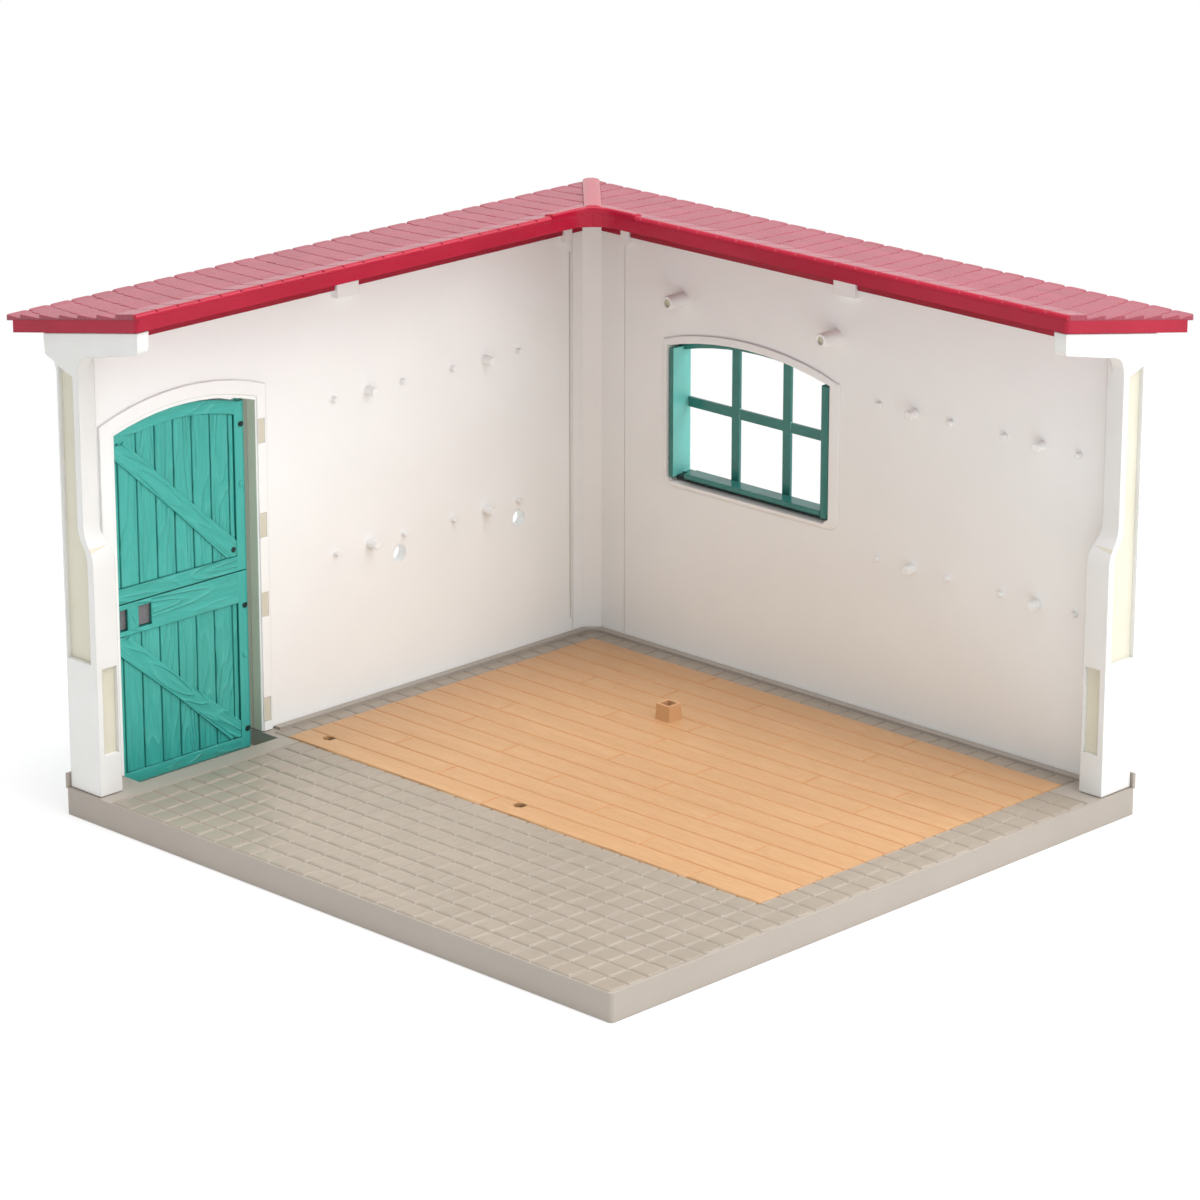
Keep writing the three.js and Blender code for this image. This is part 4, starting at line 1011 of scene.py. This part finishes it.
def board(shapes, outline, face, rise):
    """A board in the (y, z) plane of a leaf, its top a little above one of the leaf's faces."""
    x, outward = face
    rings = []
    for inset, drop in BOARD_RINGS:
        ring = [(x + outward * (rise + drop), y, z) for y, z in drawn_in(outline, inset)]
        rings.append(ring if outward > 0 else ring[::-1])
    shapes.stack(rings)


def band(start, end):
    """A brace between two points of the (y, z) plane, with rounded corners."""
    middle = (Vector(start) + Vector(end)) / 2
    along = Vector(end) - Vector(start)
    half = along.length / 2
    direction = along.normalized()
    side = Vector((-direction.y, direction.x))
    flat = rounded(-half, -BRACE_WIDTH / 2, half, BRACE_WIDTH / 2, BAND_RADIUS, 4)
    return [tuple(middle + direction * a + side * b) for a, b in flat]


def upright(y0, y1, low, top):
    """A plank from a level up to a height that depends on y."""
    over = [y1 + (y0 - y1) * i / 3 for i in range(4)]
    return [(y0, low), (y1, low)] + [(y, top(y)) for y in over]


def leaf_boards(leaf, face_name, top, rail, rails, brace):
    """All boards of one face of a leaf, in three pieces by the run of their grain."""
    face = LEAF_FACES[face_name]
    within = (
        lambda y, z: y - LEAF_FREE - EDGE_STRIP - BOARD_ROOM,
        lambda y, z: LEAF_STILE - FRAME_ROOM - y,
        lambda y, z: z - rail - BOARD_ROOM,
        lambda y, z: top(y) - BOARD_ROOM - z,
    )
    grooves = [LEAF_FREE + EDGE_STRIP]
    grooves += [BOARD_FIRST + i * BOARD_PITCH for i in range(BOARD_COUNT)]
    grooves.append(LEAF_STILE)
    planks_up = [
        upright(y0 + JOINT_HALF, y1 - JOINT_HALF, rail, top)
        for y0, y1 in zip(grooves, grooves[1:]) if y1 - y0 > LEAST_BOARD
    ]
    slanted = band(*brace)
    for keep in within:
        slanted = clipped(slanted, keep)
    slope = math.atan2(brace[1][1] - brace[0][1], brace[1][0] - brace[0][0])
    for kind, outlines, rise, axis, turn in (
        ("planks", planks_up, PLANK_RISE - BOARD_RECESS, "Z", None),
        ("rails", rails, RAIL_RISE, "Y", None),
        ("brace", [slanted], BRACE_RISE, "Y", Matrix.Rotation(slope, 4, "X")),
    ):
        shapes = Shapes()
        for outline in outlines:
            board(shapes, outline, face, rise)
        shapes.made(f"{leaf}_{face_name}_{kind}", "door", leaf, DOOR_GRAIN[axis], turn)


FRAME_SIDES = (LEAF_FREE + FRAME_ROOM, LEAF_STILE - BOARD_ROOM)
RAIL_CORNERS = (RAIL_RADIUS, RAIL_END_RADIUS, RAIL_END_RADIUS, RAIL_RADIUS)


def upper_rails():
    """The upper leaf's bottom rail and its arched top."""
    free, stile = FRAME_SIDES
    ys = steps(free, stile, (stile - free) / FRAME_STEPS)
    arch = [(y, arch_height(y, ARCH_RAIL)) for y in ys]
    arch += [(y, arch_height(y, FRAME_ROOM)) for y in reversed(ys)]
    flat = rounded(free, UPPER_BOTTOM + RAIL_ROOM, stile, UPPER_BOTTOM + UPPER_RAIL, RAIL_CORNERS, 4)
    return [flat, arch]


def lower_rails(face_name):
    """The lower leaf's rails; the upper one leaves the bolt's windows of that face open."""
    free, stile = FRAME_SIDES
    windows, (low, high) = RAIL_WINDOWS[face_name]
    last = windows[-1][1] + BOARD_ROOM
    low -= BOARD_ROOM
    high += BOARD_ROOM
    top, foot = LEAF_SPLIT - RAIL_ROOM, LEAF_SPLIT - LOWER_TOP_RAIL
    pieces = [
        rounded(free, LEAF_BOTTOM + RAIL_ROOM, stile, LEAF_BOTTOM + LOWER_RAIL, RAIL_CORNERS, 4),
        rounded(last, foot, stile, top, RAIL_CORNERS, 4),
        rounded(free, foot, last, low, RAIL_RADIUS, 4),
        rounded(free, high, last, top, RAIL_RADIUS, 4),
    ]
    edge = free
    for start, end in windows:
        pieces.append(rounded(edge, low, start - BOARD_ROOM, high, POST_RADIUS, 4))
        edge = end + BOARD_ROOM
    return pieces


def door():
    for face_name in LEAF_FACES:
        leaf_boards(
            "upper_leaf", face_name, lambda y: arch_height(y, ARCH_RAIL + FRAME_ROOM),
            UPPER_BOTTOM + UPPER_RAIL + FRAME_ROOM, upper_rails(), UPPER_BRACE,
        )
        leaf_boards(
            "lower_leaf", face_name, lambda y: LEAF_SPLIT - LOWER_TOP_RAIL - FRAME_ROOM,
            LEAF_BOTTOM + LOWER_RAIL + FRAME_ROOM, lower_rails(face_name), LOWER_BRACE,
        )
    # The leaves' faces between the boards get painted shade
    for node in ("upper_door_leaf", "lower_door_leaf"):
        painted(
            node, DOOR_JOINT_SHADE,
            lambda x, y, z: y < LEAF_STILE and abs(x - LEAF_MIDDLE) < LEAF_JOINT_REACH,
        )
    stile_marks()


def stile_marks():
    """Painted shade as dark discs in the stile's core holes and the upper brace's hole, and small knots.
    """
    for body, holes in CORE_HOLES.items():
        # The core holes are dark discs: painted shade
        for kind, places, (radius, reach, ease), material in (
            ("core_hole_painted_shade", holes, CORE_HOLE, PAINTED_SHADE), ("knots", (KNOTS[body],), KNOT, None),
        ):
            shapes = Shapes()
            for y, z in places:
                swept(shapes, "x", circle(radius, y, z), MARK_FOOT, reach, ease)
            shapes.made(f"{body}_{kind}", "door", body, material)


# Faces of CAD nodes with a finish of their own, and window faces with painted light

RECESS_DEPTH = 2.7
FOOT_RECESS = 16.2
DOORWAY_BACK = 86.9
LIT_SIDES = (49.3, 75.7, 101.6)
FACE_BAND = 0.1
SIDE_BAND = 0.25


def near(place, level, reach=FACE_BAND):
    return abs(place - level) < reach


def painted_faces():
    """Cream panels sunk in the pillars and a cream side of the doorway, and painted light: paler sides
    of the window's plate and bars where they look along the front."""
    for node, material, chosen in (
        ("door_wall_pillar", CREAM, lambda x, y, z: near(y, RECESS_DEPTH) or near(x, FOOT_RECESS)),
        ("window_wall_pillar", CREAM,
         lambda x, y, z: near(x, WIDTH - RECESS_DEPTH) or near(y, DEPTH - FOOT_RECESS)),
        ("door_wall", CREAM, lambda x, y, z: near(y, DOORWAY_BACK) and x < WALL_FACE),
        # The window's plate and bar sides that face the right get painted light
        ("window_frame", PAINTED_LIGHT_AQUA, lambda x, y, z: any(near(x, side, SIDE_BAND) for side in LIT_SIDES)),
    ):
        painted(node, material, chosen)


# Wall fittings: round pegs and bosses, and the casing's lugs in their slots

FITTING_ROOT = 1
PEG_EASE = 0.3


def pegs():
    """Round shapes over the faceted hubs and pegs of both walls."""
    shapes = Shapes()
    back = DEPTH - WALL_FACE
    for wall, centres, spread in zip("dw", (DOOR_PEG_CENTRES, WINDOW_PEG_CENTRES), PEG_SPREADS):
        for centre in centres:
            for level in PEG_LEVELS:
                for offset, (radius, height) in ((-spread, PEG), (0, HUB), (spread, PEG)):
                    outline = circle(radius, centre + offset, level)
                    if wall == "d":
                        swept(shapes, "x", outline, WALL_FACE - FITTING_ROOT, WALL_FACE + height, PEG_EASE)
                    else:
                        swept(shapes, "y", outline, back - height, back + FITTING_ROOT, PEG_EASE)
    shapes.made("round_pegs", "wall")


# Rings of each boss as (radius, reach from the wall)
BOSS_TUBE = (
    (2.72, 0.0), (2.72, 8.75), (2.6, 8.98), (2.35, 9.08), (1.85, 9.08), (1.6, 8.95), (1.5, 8.7),
)
BOSS_BORE = ((1.5, 8.7), (1.45, 8.0))


def bosses():
    """The two hollow bosses over the window, with their bores."""
    face = DEPTH - WALL_FACE
    for name, profile, material in (("boss_tubes", BOSS_TUBE, None), ("boss_bores", BOSS_BORE, CREAM)):
        shapes = Shapes()
        for x, level in BOSSES:
            rings = [
                [(a, face - reach, b) for a, b in circle(radius, x, level)]
                for radius, reach in profile
            ]
            shapes.stack(rings, closed_top=material is not None)
        shapes.made(name, "wall", material=material)


LUG_ROOM = 0.03
LUG_RADIUS = 0.3
LUG_ROOT = 2
LUG_PROUD = 0.9
LUG_EASE = 0.15


def lugs():
    """The ends of the casing's lugs, nearly flush in the slots of the door wall."""
    shapes = Shapes()
    for level in LUG_LEVELS:
        top = level + LUG_HEIGHT - LUG_ROOM
        outline = rounded(LUG_SIDES[0], level + LUG_ROOM, LUG_SIDES[1], top, LUG_RADIUS)
        swept(shapes, "x", outline, WALL_FACE - LUG_ROOT, WALL_FACE + LUG_PROUD, LUG_EASE)
    shapes.made("lug_faces", "trim", material=CREAM)


# Seams beside the corner post: the depths of their fillings in the wall, and their reach beyond
# the edge of the post

SEAM_DEPTH = (3.0, 5.8)
SEAM_REACH = (-0.4, 0.1)
SEAM_LEVELS = (10.3, 170)
SEAM_RADIUS = 0.02
SEAM_EASE = 0.01
SLOT_DEPTH = (3.0, 5.5)
SLOT_REACH = (-2.2, -0.9)
SLOT_LEVELS = (15.8, 156)


def seams():
    """Fills the gaps beside the corner post, and the slot in the door wall, behind their faces."""
    post_low, post_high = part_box("corner_post")
    front = from_corner(post_low)[1]
    right = from_corner(post_high)[0]
    gaps = Shapes()
    slot = Shapes()
    for shapes, xs, ys, levels in (
        (gaps, SEAM_DEPTH, [front + reach for reach in SEAM_REACH], SEAM_LEVELS),
        (gaps, [right - reach for reach in SEAM_REACH[::-1]],
         [DEPTH - depth for depth in SEAM_DEPTH[::-1]], SEAM_LEVELS),
        (slot, SLOT_DEPTH, [front + reach for reach in SLOT_REACH], SLOT_LEVELS),
    ):
        outline = rounded(xs[0], ys[0], xs[1], ys[1], SEAM_RADIUS)
        swept(shapes, "z", outline, *levels, SEAM_EASE)
    gaps.made("seam_gaps", "wall")
    slot.made("seam_slot", "wall", material=CREAM)


# Window: the sill bar, and under it a dark strip that is painted shadow, each with its extents
# along x, y and z, the radius of its long edges and the ease of its ends

SILL_BAR = ((54.8, 123.6), (259.0, 266.1), (80.0, 82.0), 0.4, 0.3)
SILL_SHADOW = ((49.4, 127.5), (261.0, 266.1), (78.36, 80.1), 0.1, 0.05)


def window_sill():
    for name, (across, depth, heights, radius, ease), material in (
        ("window_sill_bar", SILL_BAR, None), ("window_sill_painted_shadow", SILL_SHADOW, PAINTED_SHADE),
    ):
        shapes = Shapes()
        outline = rounded(depth[0], heights[0], depth[1], heights[1], radius)
        swept(shapes, "x", outline, *across, ease)
        shapes.made(name, "window", material=material)


# How far the moulding's inner edge moves outward on each side
MOULDING_EASE = {"left": 0.4, "right": 0.9, "low": 0.5, "high": 0.7}
MOULDING_FLATTER = 0.5
MOULDING_RAISE = 1.7
MOULDING_BAND = 0.25
MOULDING_WIDTH = 8
RAISED_FROM = 0.05
WINDOW_SIDES = (46.8, 127.8)
WINDOW_SILL = 78.3
WINDOW_SPRING = 130.2


def eased_moulding():
    """The CAD window wall with the inner edge of its moulding sloped back from the opening."""
    piece = copied("window_wall", "window_wall_eased")
    face = DEPTH - WALL_FACE
    left, right = WINDOW_SIDES
    to_local = piece.matrix_world.inverted()
    for vertex in piece.data.vertices:
        point = piece.matrix_world @ vertex.co
        x, y, z = from_corner(point)
        raised = face - y
        if not (RAISED_FROM < raised < MOULDING_RAISE + RAISED_FROM and x < right + MOULDING_WIDTH):
            continue
        point.y += raised * MOULDING_FLATTER * MM
        vertex.co = to_local @ point
        inside = left - MOULDING_BAND < x < right + MOULDING_BAND and z > WINDOW_SILL - MOULDING_BAND
        if raised < 1 or not inside:
            continue
        move = Vector((0, 0, 0))
        if x < left + MOULDING_BAND:
            move.x = -MOULDING_EASE["left"]
        elif x > right - MOULDING_BAND:
            move.x = MOULDING_EASE["right"]
        if z < WINDOW_SILL + MOULDING_BAND:
            move.z = -MOULDING_EASE["low"]
        elif z > WINDOW_SPRING - MOULDING_BAND:
            move.z = MOULDING_EASE["high"]
        vertex.co = to_local @ (point + move * MM)
    crisp(piece)
    piece.data.materials.clear()
    piece.data.materials.append(MATERIALS["wall"])
    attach(piece, "structure")
    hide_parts("window_wall")


LAID_OVER = ("roof_door_wing", "roof_window_wing", "hip_cap", "window_wall")
# The base tray's lighter tone is painted light on its sides
OTHER_FINISH = {"base_tray": TRAY_WITH_PAINTED_LIGHT, "door_casing": CREAM}
for subpart in frame["record"]["subparts"]:
    node = subpart["node"]
    if node not in LAID_OVER:
        kept(node, subpart["material_slot"], OTHER_FINISH.get(node))
cobbles()
planks()
roof()
door()
painted_faces()
pegs()
bosses()
lugs()
seams()
window_sill()
eased_moulding()


# Floor, backdrop and light

def seen_straight(tree):
    """1 for rays from the camera, off a gloss or through a clear piece, and 0 for other rays."""
    path = new_node(tree, "ShaderNodeLightPath", {})
    total = path.outputs["Is Camera Ray"]
    for name in ("Is Glossy Ray", "Is Transmission Ray"):
        pair = {0: total, 1: path.outputs[name]}
        total = new_node(tree, "ShaderNodeMath", pair, operation="MAXIMUM").outputs[0]
    return total


def blended(tree, share, one, two, output):
    """Shows a second shader in place of the first by a share."""
    pair = {"Fac": share, 1: one.outputs[0], 2: two.outputs[0]}
    blend = new_node(tree, "ShaderNodeMixShader", pair)
    tree.links.new(blend.outputs["Shader"], tree.nodes[output].inputs["Surface"])


# The floor glows white beyond the fade, and less under the part, to keep its contact shadow.
FLOOR_SIZE = 12
FLOOR_DROP = 0.0002
FLOOR_GREY = 0.93
FLOOR_ROUGHNESS = 0.9
FADE = {"From Min": 0.18, "From Max": 0.42, "To Min": 0.6, "To Max": 1.0}


def studio_floor():
    """A white sweep that keeps only the contact shadow near the base."""
    bpy.ops.mesh.primitive_plane_add(size=FLOOR_SIZE, location=(0, 0, -FLOOR_DROP))
    floor = bpy.context.object
    floor.name = "studio_floor"
    finish = Finish("studio_white", FLOOR_ROUGHNESS, 0)
    finish.shader.inputs["Base Color"].default_value = grey(FLOOR_GREY)
    distance = finish.node("ShaderNodeVectorMath", {0: finish.place}, operation="LENGTH")
    fade = finish.node("ShaderNodeMapRange", {"Value": distance.outputs["Value"], **FADE})
    pair = {0: seen_straight(finish.tree), 1: fade.outputs["Result"]}
    share = finish.node("ShaderNodeMath", pair, operation="MULTIPLY")
    glow = finish.node("ShaderNodeEmission", {})
    blended(finish.tree, share.outputs[0], finish.shader, glow, "Material Output")
    floor.data.materials.append(finish.material)


AMBIENT = 0.62


def world():
    """White where the camera sees it, and a soft light elsewhere."""
    made = bpy.data.worlds.new("studio")
    bpy.context.scene.world = made
    made.use_nodes = True
    tree = made.node_tree
    ambient = tree.nodes["Background"]
    ambient.inputs["Color"].default_value = grey(1)
    ambient.inputs["Strength"].default_value = AMBIENT
    white = new_node(tree, "ShaderNodeBackground", {"Strength": 1})
    blended(tree, seen_straight(tree), ambient, white, "World Output")


# Square lamps as (name, azimuth, elevation, power), all at one distance from their target
LAMPS = (
    ("right_low", 95, 25, 6.8),
    ("right_high", 90, 55, 5.6),
    ("top", 45, 88, 22.5),
    ("back", 150, 45, 8.4),
)
LAMP_DISTANCE = 1.6
LAMP_SIZE = 0.9
LAMP_TARGET = (0, 0, 0.06)


def softbox(name, azimuth, elevation, power):
    """A square area lamp at a direction from the target, facing it."""
    data = bpy.data.lights.new(name, "AREA")
    data.shape = "SQUARE"
    data.size = LAMP_SIZE
    data.energy = power
    lamp = bpy.data.objects.new(name, data)
    a, e = math.radians(azimuth), math.radians(elevation)
    away = Vector((math.sin(a) * math.cos(e), -math.cos(a) * math.cos(e), math.sin(e)))
    lamp.location = Vector(LAMP_TARGET) + away * LAMP_DISTANCE
    lamp.rotation_euler = away.to_track_quat("Z", "Y").to_euler()
    bpy.context.scene.collection.objects.link(lamp)


camera()
studio_floor()
world()
for lamp in LAMPS:
    softbox(*lamp)

bpy.context.scene.view_settings.view_transform = "Standard"
